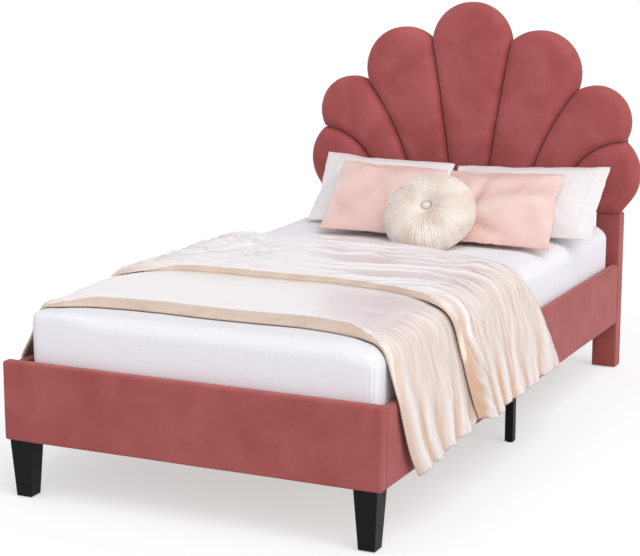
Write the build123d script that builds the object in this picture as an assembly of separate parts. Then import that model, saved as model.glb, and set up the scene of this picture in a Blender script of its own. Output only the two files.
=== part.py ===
from build123d import *
import math
import os

# A twin bed with a petal headboard, covered in velvet and made up with its bedding.
# Millimetres. +Z is up, +Y runs from the foot to the head, +X is the right side seen from the foot.
# The origin is on the floor, in the middle of the bed's width and length.

# Whole bed
underside_height = 153.0
cover_thick = 4.0  # velvet over thin foam
seat_gap = 0.3  # between pieces that rest on each other
hole_gap = 0.2  # round a bolt
overrun = 5.0  # how far a cut reaches past what it cuts

# Footboard and side rails
footboard_depth = 30.0
footboard_height = 208.0
rail_depth = 24.0
rail_height = 196.0
cover_round = 7.0
corner_block_size = 60.0
corner_block_height = 66.0

# Head posts and the low rail between them
post_width = 80.0
post_depth = 55.0
post_round = 5.0
head_rail_depth = 24.0
head_rail_height = 86.0
head_rail_setback = 12.0
tenon_length = 20.0
tongue_height = 330.0
bracket_thick = 3.0
bracket_leg = 58.0
bracket_height = 50.0

# Legs and glides
leg_top = 62.0
leg_bottom = 44.0
leg_inset_side = 13.0
leg_inset_front = 5.0
leg_round = 2.0
mid_leg_size = 24.0
mid_leg_place = 1018.0  # from the footboard's front
glide_thick = 3.0
glide_radius = 15.0
mid_glide_radius = 9.0
bolt_radius = 4.0
leg_bolt_grip = 32.0  # how far a leg bolt runs into each piece

# Ledgers, centre beam and slats
ledger_width = 25.0
ledger_height = 25.0
slat_width = 70.0
slat_thick = 18.0
slat_count = 12
slat_end_gap = 2.0
slat_margin = 62.0  # from the footboard to the first slat, and from the last to the head rail
strap_width = 25.0
strap_thick = 1.5
strap_distance = 270.0  # from the bed's middle
beam_width = 32.0
beam_height = 40.0
cleat_width = 70.0
cleat_depth = 26.0
cleat_height = 60.0

# Headboard: round petal heads on one board, in a fan whose foot is the middle of the lower edge
headboard_bottom = 514.0
petal_front = 22.0  # how far the petals stand ahead of the posts
petal_depth = 42.0
petal_edge_round = 30.0
petal_seam = 1.0
fan_reach_share = 0.642  # of the bed's width, from the fan's foot to the middle petal's crown
middle_petal_shares = (0.0, 0.793, 0.207)  # across, up and radius, each as a share of the fan's reach
right_petal_shares = ((0.35, 0.662, 0.209), (0.6365, 0.439, 0.1765), (0.657, 0.1915, 0.2075))
headboard_foot_share = 0.7745  # the board's lower corner
seam_bottom_shares = (0.0815, 0.282, 0.4895)
seam_bow_shares = (0.0075, 0.0415, 0.098)
board_thick = 15.0
board_inset = 5.0
back_cloth_thick = 1.5
back_cloth_inset = 12.0
board_bolt_height = 90.0  # of the lower bolts, above the headboard's lower edge
board_bolt_spacing = 180.0
bolt_head_radius = 8.0
bolt_head_thick = 3.0
board_bolt_depth = 11.0

# Mattress in its fitted sheet
mattress_width = 990.0
mattress_length = 1905.0
mattress_top = 492.0
mattress_foot_gap = 3.0
mattress_head_gap = 2.0
mattress_side_gap = 6.0
mattress_edge_round = 45.0
mattress_end_round = 40.0
mattress_shoulder = 75.0  # the sloping stretch along each side
mattress_shoulder_drop = 13.0
mattress_crown_round = 250.0
sheet_thick = 2.0

# Coverlet: satin, folded so that a second layer lies on its head part
coverlet_thick = 12.0
coverlet_fold_thick = 14.0
coverlet_rail_gap = 4.0
coverlet_hem_height = 178.0
coverlet_hem_flare = 14.0
coverlet_pleat = 9.0
coverlet_pleat_count = 7
coverlet_front = 138.0  # the front edge's and the fold's places are from the footboard's front
coverlet_front_corner = 96.0
coverlet_front_hem = 165.0
coverlet_fold = 578.0
coverlet_fold_corner = 486.0
coverlet_fold_hem = 572.0
coverlet_rear = 778.0  # the rear edge's places are from the mattress's head end
coverlet_rear_corner = 893.0
coverlet_rear_hem = 696.0
coverlet_corner_share = 0.62  # of half the mattress width, where the edges start to turn

# Pillows and the round cushion
pillow_gap = 1.5
pillow_lean = 24.0
pillow_turn = 6.0
pillow_drawn_share = 0.95
pillow_end_share = 0.06
pillow_station_shares = (0.0, 0.35, 0.72, 0.92, 1.0)
pillow_crown_shares = (1.0, 0.95, 0.72, 0.4, pillow_end_share)
white_pillow_length = 468.0
white_pillow_height = 440.0
white_pillow_thick = 112.0
white_pillow_left_across = -200.0
white_pillow_right_across = 296.0
blush_pillow_length = 374.0
blush_pillow_height = 400.0
blush_pillow_thick = 92.0
blush_pillow_left_across = -130.0
blush_pillow_right_across = 258.0
cushion_diameter = 286.0
cushion_thick = 122.0
cushion_lean = 42.0
cushion_across = 116.0
cushion_tuft_radius = 46.0
cushion_tuft_share = 0.62  # of half the thickness, where the button lies
cushion_dip_share = 0.62  # how soon the tuft's side rises towards its lip
button_radius = 13.0
button_thick = 9.0
profile_steps = 40

# Places that follow from the sizes
mattress_flat = mattress_width - 2 * mattress_shoulder
outer_width = mattress_width + 2 * (mattress_side_gap + rail_depth)
mattress_room = mattress_foot_gap + mattress_length + mattress_head_gap
outer_length = footboard_depth + mattress_room + petal_front + post_depth
fan_reach = outer_width * fan_reach_share
foot_face = -outer_length / 2
foot_back = foot_face + footboard_depth
mattress_foot = foot_back + mattress_foot_gap
mattress_head = mattress_foot + mattress_length
post_back = outer_length / 2
post_face = post_back - post_depth
side_face = outer_width / 2
rail_inner = side_face - rail_depth
post_inner = side_face - post_width
rail_top = underside_height + rail_height
corner_block_inner = rail_inner - corner_block_size
corner_block_end = foot_back + corner_block_size
ledger_top = underside_height + corner_block_height
ledger_bottom = ledger_top - ledger_height
ledger_inner = rail_inner - ledger_width
slat_top = ledger_top + slat_thick
mid_leg_y = foot_face + mid_leg_place
head_rail_face = post_face + head_rail_setback
petal_face = post_face - petal_front
board_face = petal_face + petal_depth
cloth_face = board_face + board_thick
tongue_face = cloth_face + back_cloth_thick
tongue_top = headboard_bottom + tongue_height
bracket_bottom = ledger_bottom - bracket_height / 2


def block(x0, x1, y0, y1, z0, z1):
    """A box between two corners."""
    middle = ((x0 + x1) / 2, (y0 + y1) / 2, (z0 + z1) / 2)
    return Pos(*middle) * Box(abs(x1 - x0), abs(y1 - y0), abs(z1 - z0))


def upright(x, y, z0, z1, radius):
    """A round bar along Z."""
    return Pos(x, y, (z0 + z1) / 2) * Cylinder(radius, z1 - z0)


def along_y(x, z, y0, y1, radius):
    """A round bar along Y."""
    return Pos(x, (y0 + y1) / 2, z) * Rot(X=90) * Cylinder(radius, y1 - y0)


def save(shape, name):
    export_step(shape, "parts/" + name + ".step")


def mirrored_pair(shape, name):
    """Writes the right-hand piece and its mirror image."""
    save(shape, name + "_right")
    save(mirror(shape, about=Plane.YZ), name + "_left")


def footboard():
    """A board with velvet over its front, top, ends and underside."""
    top = underside_height + footboard_height
    padded = block(-side_face, side_face, foot_face, foot_back, underside_height, top)
    edges = padded.edges().filter_by(Axis.Y) + padded.faces().sort_by(Axis.Y)[0].edges()
    padded = fillet(edges, cover_round)
    core = block(
        -side_face + cover_thick,
        side_face - cover_thick,
        foot_face + cover_thick,
        foot_back,
        underside_height + cover_thick,
        top - cover_thick,
    )
    save(core, "footboard_core")
    save(padded - core, "footboard_cover")


def side_rails():
    """Rail boards with velvet over their outer face, top and underside."""
    padded = block(rail_inner, side_face, foot_back, post_face, underside_height, rail_top)
    padded = fillet(padded.faces().sort_by(Axis.X)[-1].edges().filter_by(Axis.Y), cover_round)
    core = block(
        rail_inner,
        side_face - cover_thick,
        foot_back,
        post_face,
        underside_height + cover_thick,
        rail_top - cover_thick,
    )
    mirrored_pair(core, "side_rail_core")
    mirrored_pair(padded - core, "side_rail_cover")


def head_rail_bar(reach, gap):
    """The low rail's section, carried past the posts' inner faces by reach."""
    half = post_inner + reach
    return block(
        -half,
        half,
        head_rail_face - gap,
        head_rail_face + head_rail_depth + gap,
        underside_height - gap,
        underside_height + head_rail_height + gap,
    )


def board_bolt_places():
    """Where the headboard's bolts cross the post tongues, right side only."""
    across = (post_inner + side_face) / 2
    first = headboard_bottom + board_bolt_height
    return [(across, first), (across, first + board_bolt_spacing)]


def head_posts():
    """Velvet-covered posts with a thinner tongue that carries the headboard."""
    padded = block(post_inner, side_face, post_face, post_back, glide_thick, headboard_bottom)
    padded = fillet(padded.edges().filter_by(Axis.Z), post_round)
    core = block(
        post_inner + cover_thick,
        side_face - cover_thick,
        post_face + cover_thick,
        post_back - cover_thick,
        glide_thick,
        headboard_bottom,
    )
    mortise = head_rail_bar(cover_thick + tenon_length, 0)
    mirrored_pair(padded - core - mortise, "post_cover")
    tongue = block(
        post_inner + cover_thick,
        side_face - cover_thick,
        tongue_face,
        post_back - cover_thick,
        headboard_bottom,
        tongue_top,
    )
    core = core + tongue - mortise
    for x, z in board_bolt_places():
        core -= along_y(x, z, tongue_face - overrun, post_back, bolt_radius + hole_gap)
    mirrored_pair(core, "head_post")


def head_rail():
    save(head_rail_bar(cover_thick + tenon_length, 0), "head_rail")


def head_brackets():
    """Steel angles that join the side rails to the posts, inside the corner."""
    long_leg = block(
        rail_inner - bracket_thick,
        rail_inner,
        post_face - bracket_leg,
        post_face,
        bracket_bottom,
        bracket_bottom + bracket_height,
    )
    short_leg = block(
        post_inner,
        rail_inner - bracket_thick,
        post_face - bracket_thick,
        post_face,
        bracket_bottom,
        bracket_bottom + bracket_height,
    )
    mirrored_pair(long_leg + short_leg, "head_bracket")


def front_leg_place():
    """The front right leg's middle."""
    x = side_face - leg_inset_side - leg_top / 2
    y = foot_face + leg_inset_front + leg_top / 2
    return x, y


def leg_bolt_hole(x, y, z):
    """The hole that a leg's bolt needs in the leg and in what the leg carries."""
    reach = leg_bolt_grip + overrun
    return upright(x, y, z - reach, z + reach, bolt_radius + hole_gap)


def corner_bolt_place():
    """The front leg's bolt runs up into the corner block behind the footboard."""
    x = (corner_block_inner + rail_inner) / 2
    y = foot_back + (front_leg_place()[1] + leg_top / 2 - foot_back) / 2
    return x, y


def corner_blocks():
    """Wood blocks in the foot corners, which the front legs screw into."""
    shape = block(
        corner_block_inner, rail_inner, foot_back, corner_block_end, underside_height, ledger_top
    )
    mirrored_pair(shape - leg_bolt_hole(*corner_bolt_place(), underside_height), "corner_block")


def front_legs():
    """Square legs that taper towards the floor."""
    x, y = front_leg_place()
    low = Pos(x, y, glide_thick) * Rectangle(leg_bottom, leg_bottom)
    high = Pos(x, y, underside_height) * Rectangle(leg_top, leg_top)
    leg = loft([low, high], ruled=True)
    sides = leg.edges().filter_by(lambda e: e.length > underside_height / 2)
    leg = fillet(sides, leg_round)
    mirrored_pair(leg - leg_bolt_hole(*corner_bolt_place(), underside_height), "front_leg")


def mid_leg(x, top, name):
    """A plain square leg at the bed's middle, under a ledger or the centre beam."""
    half = mid_leg_size / 2
    leg = block(x - half, x + half, mid_leg_y - half, mid_leg_y + half, glide_thick, top)
    save(leg - leg_bolt_hole(x, mid_leg_y, top), name)


def mid_legs():
    ledger_middle = (ledger_inner + rail_inner) / 2
    mid_leg(ledger_middle, ledger_bottom, "mid_leg_right")
    mid_leg(-ledger_middle, ledger_bottom, "mid_leg_left")
    mid_leg(0, ledger_top - beam_height, "centre_leg")


def leg_bolts():
    """One bolt through the top of each leg, as separate solids in one node."""
    x, y = corner_bolt_place()
    ledger_middle = (ledger_inner + rail_inner) / 2
    places = [(x, y, underside_height), (-x, y, underside_height)]
    places += [(ledger_middle, mid_leg_y, ledger_bottom), (-ledger_middle, mid_leg_y, ledger_bottom)]
    places += [(0, mid_leg_y, ledger_top - beam_height)]
    bolts = []
    for x, y, z in places:
        up = min(leg_bolt_grip, ledger_top - z)
        bolts.append(upright(x, y, z - leg_bolt_grip, z + up - seat_gap, bolt_radius))
    save(Compound(children=bolts), "leg_bolts")


def glides():
    """Plastic glides under the front legs and the posts, and smaller ones under the middle legs."""
    leg_x, leg_y = front_leg_place()
    post_x = (post_inner + side_face) / 2
    post_y = (post_face + post_back) / 2
    wide = []
    for side in (-1, 1):
        wide.append(upright(side * leg_x, leg_y, 0, glide_thick, glide_radius))
        wide.append(upright(side * post_x, post_y, 0, glide_thick, glide_radius))
    save(Compound(children=wide), "floor_glides")
    ledger_middle = (ledger_inner + rail_inner) / 2
    small = []
    for x in (-ledger_middle, 0, ledger_middle):
        small.append(upright(x, mid_leg_y, 0, glide_thick, mid_glide_radius))
    save(Compound(children=small), "mid_leg_glides")


def ledgers():
    """Battens along the inside of the side rails, which carry the slats' ends."""
    end = post_face - bracket_leg
    bar = block(ledger_inner, rail_inner, corner_block_end, end, ledger_bottom, ledger_top)
    middle = (ledger_inner + rail_inner) / 2
    mirrored_pair(bar - leg_bolt_hole(middle, mid_leg_y, ledger_bottom), "slat_ledger")


def centre_beam():
    """The beam under the slats' middle, carried by a cleat at each end and by the centre leg."""
    bottom = ledger_top - beam_height
    foot_end = foot_back + cleat_depth
    head_end = head_rail_face - cleat_depth
    half = beam_width / 2
    beam = block(-half, half, foot_back, head_rail_face, bottom, ledger_top)
    save(beam - leg_bolt_hole(0, mid_leg_y, bottom), "centre_beam")
    wide = cleat_width / 2
    for y0, y1, name in ((foot_back, foot_end, "foot"), (head_end, head_rail_face, "head")):
        cleat = block(-wide, wide, y0, y1, ledger_top - cleat_height, ledger_top)
        notch = block(-half, half, y0 - overrun, y1 + overrun, bottom, ledger_top + overrun)
        save(cleat - notch, "beam_cleat_" + name)


def slat_places():
    """The slats' middles along the bed, evenly spread."""
    first = foot_back + slat_margin + slat_width / 2
    last = head_rail_face - slat_margin - slat_width / 2
    pitch = (last - first) / (slat_count - 1)
    return [first + n * pitch for n in range(slat_count)]


def slats():
    """Wood slats from ledger to ledger, with two webbing straps under them that keep their spacing."""
    half = rail_inner - slat_end_gap
    for n, y in enumerate(slat_places()):
        y0, y1 = y - slat_width / 2, y + slat_width / 2
        slat = fillet(
            block(-half, half, y0, y1, ledger_top, slat_top).edges().filter_by(Axis.X), leg_round
        )
        save(slat, "slat_" + str(n + 1).zfill(2))
    y0 = slat_places()[0] - slat_width / 2
    y1 = slat_places()[-1] + slat_width / 2
    x0, x1 = strap_distance - strap_width / 2, strap_distance + strap_width / 2
    strap = block(x0, x1, y0, y1, ledger_top - strap_thick, ledger_top)
    save(Compound(children=[strap, mirror(strap, about=Plane.YZ)]), "slat_straps")


def circles_cross(a, b):
    """Where two petal heads cross, on the outer side. Each is (across, height, radius)."""
    dx, dz = b[0] - a[0], b[1] - a[1]
    apart = math.hypot(dx, dz)
    along = (apart**2 + a[2] ** 2 - b[2] ** 2) / (2 * apart)
    out = math.sqrt(max(a[2] ** 2 - along**2, 0))
    return (a[0] + (along * dx - out * dz) / apart, a[1] + (along * dz + out * dx) / apart)


def head_crown(head):
    """The point of a petal head's edge that lies furthest from the fan's foot."""
    dx, dz = head[0], head[1] - headboard_bottom
    far = math.hypot(dx, dz)
    return (head[0] + head[2] * dx / far, head[1] + head[2] * dz / far)


def tangent_point(circle, corner):
    """Where a straight line from the board's lower corner touches the side petal, outside."""
    dx, dz = corner[0] - circle[0], corner[1] - circle[1]
    far = math.hypot(dx, dz)
    angle = math.atan2(dz, dx) + math.acos(circle[2] / far)
    return (circle[0] + circle[2] * math.cos(angle), circle[1] + circle[2] * math.sin(angle))


def petal_head(shares):
    """A petal's round head in the fan: its place across, its height and its radius."""
    across, up, radius = (fan_reach * share for share in shares)
    return across, headboard_bottom + up, radius


def middle_petal_head():
    return petal_head(middle_petal_shares)


def right_petal_heads():
    """The three petal heads on the right, from the middle outwards."""
    return [petal_head(shares) for shares in right_petal_shares]


def line(a, b, y):
    return Line((a[0], y, a[1]), (b[0], y, b[1]))


def arc(a, middle, b, y):
    return ThreePointArc((a[0], y, a[1]), (middle[0], y, middle[1]), (b[0], y, b[1]))


def left_of(point):
    return (-point[0], point[1])


def petal_notches():
    """The three crossings on the right, from the middle outwards."""
    heads = [middle_petal_head()] + right_petal_heads()
    return [circles_cross(a, b) for a, b in zip(heads, heads[1:])]


def seam_points(n):
    """The right seam n from its notch to the board's lower edge, as the points of one bowed arc."""
    top = petal_notches()[n]
    bottom = (fan_reach * seam_bottom_shares[n], headboard_bottom)
    bow = fan_reach * seam_bow_shares[n]
    dx, dz = bottom[0] - top[0], bottom[1] - top[1]
    far = math.hypot(dx, dz)
    middle = ((top[0] + bottom[0]) / 2 + bow * dz / far, (top[1] + bottom[1]) / 2 - bow * dx / far)
    return top, middle, bottom


def petal_edges(n, y):
    """The outline of petal n on the right (0 is the middle one), as edges on the plane at y."""
    if n == 0:
        top, middle, bottom = seam_points(0)
        crown = head_crown(middle_petal_head())
        return [
            arc(left_of(top), crown, top, y),
            arc(top, middle, bottom, y),
            line(bottom, left_of(bottom), y),
            arc(left_of(bottom), left_of(middle), left_of(top), y),
        ]
    head = right_petal_heads()[n - 1]
    top, middle, bottom = seam_points(n - 1)
    inner = [arc(bottom, middle, top, y)]
    if n < 3:
        far_top, far_middle, far_bottom = seam_points(n)
        return inner + [
            arc(top, head_crown(head), far_top, y),
            arc(far_top, far_middle, far_bottom, y),
            line(far_bottom, bottom, y),
        ]
    corner = (fan_reach * headboard_foot_share, headboard_bottom)
    touch = tangent_point(head, corner)
    outer = [arc(top, head_crown(head), touch, y), line(touch, corner, y), line(corner, bottom, y)]
    return inner + outer


def petal(n):
    """One padded petal: its outline drawn in by half a seam, with a full round front edge."""
    face = make_face(Wire(petal_edges(n, petal_face)))
    face = offset(face, -petal_seam / 2, kind=Kind.INTERSECTION)
    pad = extrude(face, amount=petal_depth, dir=(0, 1, 0))
    return fillet(pad.faces().sort_by(Axis.Y)[0].edges(), petal_edge_round)


def petals():
    save(petal(0), "petal_4")
    for n, right, left in ((1, "5", "3"), (2, "6", "2"), (3, "7", "1")):
        shape = petal(n)
        save(shape, "petal_" + right)
        save(mirror(shape, about=Plane.YZ), "petal_" + left)


def board_outline(inset, y):
    """The whole scalloped outline, every petal head and the foot drawn in by inset."""
    heads = [(x, z, radius - inset) for x, z, radius in [middle_petal_head()] + right_petal_heads()]
    notches = [circles_cross(a, b) for a, b in zip(heads, heads[1:])]
    corner = (fan_reach * headboard_foot_share - inset, headboard_bottom + inset)
    touch = tangent_point(heads[-1], corner)
    crown = head_crown(heads[0])
    edges = [arc(left_of(notches[0]), crown, notches[0], y), line(left_of(corner), corner, y)]
    for head, start, end in zip(heads[1:], notches, notches[1:] + [touch]):
        crown = head_crown(head)
        edges.append(arc(start, crown, end, y))
        edges.append(arc(left_of(start), left_of(crown), left_of(end), y))
    edges += [line(touch, corner, y), line(left_of(touch), left_of(corner), y)]
    return Wire.combine(edges)[0]


def board_shape(inset, y0, y1):
    """The scalloped outline as a sheet between two depths."""
    return extrude(make_face(board_outline(inset, y0)), amount=y1 - y0, dir=(0, 1, 0))


def headboard_board():
    """The plywood behind the petals, the cloth on its back and the bolts through both."""
    board = board_shape(board_inset, board_face, cloth_face)
    cloth = board_shape(back_cloth_inset, cloth_face, tongue_face)
    bolts = []
    for x, z in board_bolt_places():
        for side in (-1, 1):
            y0 = tongue_face - back_cloth_thick - board_bolt_depth
            y1 = post_back - cover_thick
            hole = along_y(side * x, z, y0, y1, bolt_radius + hole_gap)
            board -= hole
            cloth -= hole
            shank = along_y(side * x, z, y0, y1, bolt_radius)
            bolts.append(shank + along_y(side * x, z, y1, y1 + bolt_head_thick, bolt_head_radius))
    save(board, "headboard_board")
    save(cloth, "headboard_back_cloth")
    save(Compound(children=bolts), "headboard_bolts")


def mattress_form(draw_in):
    """The sheeted mattress, drawn in by draw_in on the top and the sides."""
    half = mattress_width / 2 - draw_in
    top = mattress_top - draw_in
    low = slat_top + seat_gap
    flat = mattress_flat / 2
    y0, y1 = mattress_foot + draw_in, mattress_head - draw_in
    points = [
        (-half, low),
        (half, low),
        (half, top - mattress_shoulder_drop),
        (flat, top),
        (-flat, top),
        (-half, top - mattress_shoulder_drop),
    ]
    section = make_face(Polyline([(x, y0, z) for x, z in points], close=True))
    edges = section.vertices().filter_by(lambda v: abs(v.X) > half - overrun)
    section = fillet(edges, mattress_edge_round)
    crown = section.vertices().filter_by(lambda v: v.Z > top - seat_gap)
    section = fillet(crown, mattress_crown_round)
    body = extrude(section, amount=y1 - y0, dir=(0, 1, 0))
    ends = body.faces().filter_by(Axis.Y)
    return fillet(ends[0].edges() + ends[1].edges(), mattress_end_round)


def mattress():
    """The mattress, and a fitted sheet as a skin over its top and sides."""
    core = mattress_form(sheet_thick)
    skirt = slat_top + seat_gap + mattress_edge_round
    below = block(-side_face, side_face, foot_face, post_back, 0, skirt)
    save(core, "mattress")
    save(mattress_form(0) - core - below, "fitted_sheet")


def coverlet_side(off, pleat):
    """Half of the coverlet's section, from the flat top to the hem, at a distance from the sheet."""
    off = off + seat_gap
    half, flat = mattress_width / 2, mattress_flat / 2
    slope = math.atan2(mattress_shoulder_drop, half - flat)
    drop = mattress_shoulder_drop + mattress_edge_round * math.tan(math.pi / 4 - slope / 2)
    middle = (half - mattress_edge_round, mattress_top - drop)
    radius = mattress_edge_round + off

    def turned(angle):
        return (middle[0] + radius * math.cos(angle), middle[1] + radius * math.sin(angle))

    level = math.pi / 2 - slope
    outside = side_face + coverlet_rail_gap + off
    return [
        (flat, mattress_top + off),
        turned(level),
        turned(level / 2),
        turned(0),
        (outside + pleat / 3, rail_top),
        (outside + coverlet_hem_flare + pleat, coverlet_hem_height),
    ]


def half_edges(points, y, sign):
    """One half of a section's edge, from the flat's end to the hem."""
    p = [(sign * x, y, z) for x, z in points]
    return [Line(p[0], p[1]), ThreePointArc(p[1], p[2], p[3]), Line(p[3], p[4]), Line(p[4], p[5])]


def coverlet_section(y, inner, outer, pleat):
    """A closed section of the coverlet at y, an upturned U with its legs outside the side rails."""
    near, far = coverlet_side(inner, pleat), coverlet_side(outer, pleat)
    edges = []
    for points in (near, far):
        edges += half_edges(points, y, 1) + half_edges(points, y, -1)
        edges += [Line((-points[0][0], y, points[0][1]), (points[0][0], y, points[0][1]))]
    for sign in (-1, 1):
        edges += [Line((sign * near[5][0], y, near[5][1]), (sign * far[5][0], y, far[5][1]))]
    return make_face(Wire.combine(edges)[0])


def coverlet_band(inner, outer, y0, y1):
    """A layer of the coverlet between two places along the bed, with its pleats."""
    steps = 2 * coverlet_pleat_count
    sections = []
    for n in range(steps + 1):
        y = y0 + (y1 - y0) * n / steps
        sections.append(coverlet_section(y, inner, outer, coverlet_pleat * (n % 2)))
    return loft(sections, ruled=True)


def edge_cutter(y_mid, y_corner, y_hem, far):
    """What lies past one edge of a layer, which turns at the mattress's sides and falls to the hem."""
    half = mattress_width / 2
    turn = half * coverlet_corner_share
    up, down = mattress_top + 2 * mattress_edge_round, coverlet_hem_height - overrun
    low = rail_top
    plan = [(-half, far), (-half, y_corner), (-turn, y_mid), (turn, y_mid), (half, y_corner), (half, far)]
    top = extrude(
        make_face(Polyline([(x, y, low) for x, y in plan], close=True)), amount=up - low, dir=(0, 0, 1)
    )
    fall = [(far, up), (y_corner, up), (y_corner, mattress_top), (y_hem, down), (far, down)]
    wide = 2 * side_face
    side = extrude(
        make_face(Polyline([(half, y, z) for y, z in fall], close=True)), amount=wide, dir=(1, 0, 0)
    )
    return top + side + mirror(side, about=Plane.YZ)


def coverlet():
    """A satin coverlet over the mattress and both side rails, with a second layer on its head part."""
    front = [foot_face + y for y in (coverlet_front, coverlet_front_corner, coverlet_front_hem)]
    fold = [foot_face + y for y in (coverlet_fold, coverlet_fold_corner, coverlet_fold_hem)]
    rear = [mattress_head - y for y in (coverlet_rear, coverlet_rear_corner, coverlet_rear_hem)]
    y0, y1 = foot_face, rear[-1] + overrun
    lower = coverlet_band(0, coverlet_thick, y0, y1)
    lower -= edge_cutter(*front, foot_face - overrun)
    upper = coverlet_band(coverlet_thick / 2, coverlet_thick + coverlet_fold_thick, y0, y1)
    upper -= edge_cutter(*fold, foot_face - overrun)
    whole = lower + upper - edge_cutter(*rear, post_back)
    save(whole, "coverlet")


def lens_height(v, span, thick):
    """Half the thickness of a lens of two arcs at a distance v from its middle."""
    rise = thick / 2
    radius = ((span / 2) ** 2 + rise**2) / (2 * rise)
    return math.sqrt(radius**2 - v**2) - (radius - rise)


def lens_profile(span, thick, lean, side):
    """Points (y, z) of a leaning lens's back (side -1) or front (side 1), from its middle."""
    tilt = math.radians(lean)
    points = []
    for n in range(profile_steps + 1):
        v = span * (n / profile_steps - 1 / 2)
        w = side * lens_height(v, span, thick)
        y = v * math.cos(tilt) - w * math.sin(tilt)
        points.append((y, v * math.sin(tilt) + w * math.cos(tilt)))
    return points


def rest_height(span, thick, lean, length=0):
    """How high a leaning pillow's middle lies, so that its lowest side or its turned corner is seated."""
    lowest = min(z for _, z in lens_profile(span, thick, lean, -1))
    turn = math.radians(pillow_turn)
    corner = length / 2 * math.sin(turn) + span / 2 * math.cos(turn)
    return mattress_top + seat_gap + max(-lowest, corner * math.sin(math.radians(lean)))


def y_at(points, z):
    """Every place along Y where a profile passes a height."""
    found = []
    for (y0, z0), (y1, z1) in zip(points, points[1:]):
        if min(z0, z1) <= z <= max(z0, z1) and z0 != z1:
            found.append(y0 + (y1 - y0) * (z - z0) / (z1 - z0))
    return found


def room_between(rear, front):
    """How far ahead of a leaning pillow the next one's middle lies. Each is (span, thick, lean, length)."""
    rise = rest_height(*front) - rest_height(*rear)
    faces = lens_profile(*rear[:3], 1) + lens_profile(*rear[:3], -1)
    backs = [(y, z + rise) for y, z in lens_profile(*front[:3], -1) + lens_profile(*front[:3], 1)]
    bottom = max(min(z for _, z in faces), min(z for _, z in backs))
    top = min(max(z for _, z in faces), max(z for _, z in backs))
    need = 0.0
    for n in range(1, profile_steps):
        z = bottom + (top - bottom) * n / profile_steps
        need = max(need, max(y_at(backs, z)) - min(y_at(faces, z)))
    return need + pillow_gap


def pillow_form(length, height, thick):
    """A stuffed pillow lying flat: lens sections that swell to the middle, drawn in along the sides."""
    sections = []
    stations = [-s for s in reversed(pillow_station_shares[1:])] + list(pillow_station_shares)
    crowns = list(reversed(pillow_crown_shares[1:])) + list(pillow_crown_shares)
    for station, crown in zip(stations, crowns):
        x = station * length / 2
        drawn = pillow_drawn_share + (1 - pillow_drawn_share) * station**2
        half, rise = height * drawn / 2, thick * crown / 2
        edges = [
            ThreePointArc((x, -half, 0), (x, 0, rise), (x, half, 0)),
            ThreePointArc((x, half, 0), (x, 0, -rise), (x, -half, 0)),
        ]
        sections.append(make_face(Wire(edges)))
    return loft(sections)


def lean_back(shape, across, y, z, lean, turn):
    """Puts a flat shape in place: turned in its own plane, then leant back."""
    return Pos(across, y, z) * Rot(X=lean) * Rot(Z=turn) * shape


def white_pillow_y():
    """The white pillows' middle: their top edge touches the petals."""
    points = lens_profile(white_pillow_height, white_pillow_thick, pillow_lean, 1)
    points += lens_profile(white_pillow_height, white_pillow_thick, pillow_lean, -1)
    turned = math.sin(math.radians(pillow_turn)) * white_pillow_length / 2
    reach = max(y for y, _ in points) + turned * math.cos(math.radians(pillow_lean))
    return petal_face - pillow_gap - reach


def pillows():
    """Two white pillows against the headboard, and two blush ones that lean on them."""
    rear = (white_pillow_height, white_pillow_thick, pillow_lean, white_pillow_length)
    front = (blush_pillow_height, blush_pillow_thick, pillow_lean, blush_pillow_length)
    white = pillow_form(white_pillow_length, white_pillow_height, white_pillow_thick)
    blush = pillow_form(blush_pillow_length, blush_pillow_height, blush_pillow_thick)
    y = white_pillow_y()
    z = rest_height(*rear)
    for x, name in ((white_pillow_left_across, "left"), (white_pillow_right_across, "right")):
        save(lean_back(white, x, y, z, pillow_lean, pillow_turn), "white_pillow_" + name)
    y -= room_between(rear, front)
    z = rest_height(*front)
    for x, name in ((blush_pillow_left_across, "left"), (blush_pillow_right_across, "right")):
        save(lean_back(blush, x, y, z, pillow_lean, pillow_turn), "blush_pillow_" + name)
    return y


def round_cushion(behind_y):
    """A round cushion, tufted in its middle, with a button sunk into each side."""
    radius, rise = cushion_diameter / 2, cushion_thick / 2
    sunk = rise * cushion_tuft_share
    lip = (cushion_tuft_radius, lens_height(cushion_tuft_radius, cushion_diameter, cushion_thick))
    outer_middle = (cushion_tuft_radius + radius) / 2
    swell = lens_height(outer_middle, cushion_diameter, cushion_thick)
    dip_middle = (cushion_tuft_radius / 2, sunk + (lip[1] - sunk) * cushion_dip_share)
    half = [
        Line((0, 0, 0), (0, 0, sunk)),
        ThreePointArc((0, 0, sunk), (dip_middle[0], 0, dip_middle[1]), (lip[0], 0, lip[1])),
        ThreePointArc((lip[0], 0, lip[1]), (outer_middle, 0, swell), (radius, 0, 0)),
        Line((radius, 0, 0), (0, 0, 0)),
    ]
    upper = revolve(make_face(Wire(half)), axis=Axis.Z)
    body = upper + mirror(upper, about=Plane.XY)
    button = Pos(0, 0, sunk + button_thick / 2) * Cylinder(button_radius, button_thick)
    button = fillet(button.edges(), button_thick / 3)
    buttons = [button - body, mirror(button, about=Plane.XY) - body]
    rear = (blush_pillow_height, blush_pillow_thick, pillow_lean, blush_pillow_length)
    front = (cushion_diameter, cushion_thick, cushion_lean)
    y = behind_y - room_between(rear, front)
    z = rest_height(*front)
    save(lean_back(body, cushion_across, y, z, cushion_lean, 0), "round_cushion")
    placed = [lean_back(b, cushion_across, y, z, cushion_lean, 0) for b in buttons]
    save(Compound(children=placed), "cushion_buttons")


os.makedirs("parts", exist_ok=True)
footboard()
side_rails()
head_posts()
head_rail()
head_brackets()
corner_blocks()
front_legs()
mid_legs()
leg_bolts()
glides()
ledgers()
centre_beam()
slats()
petals()
headboard_board()
mattress()
coverlet()
round_cushion(pillows())
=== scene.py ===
import math

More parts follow.
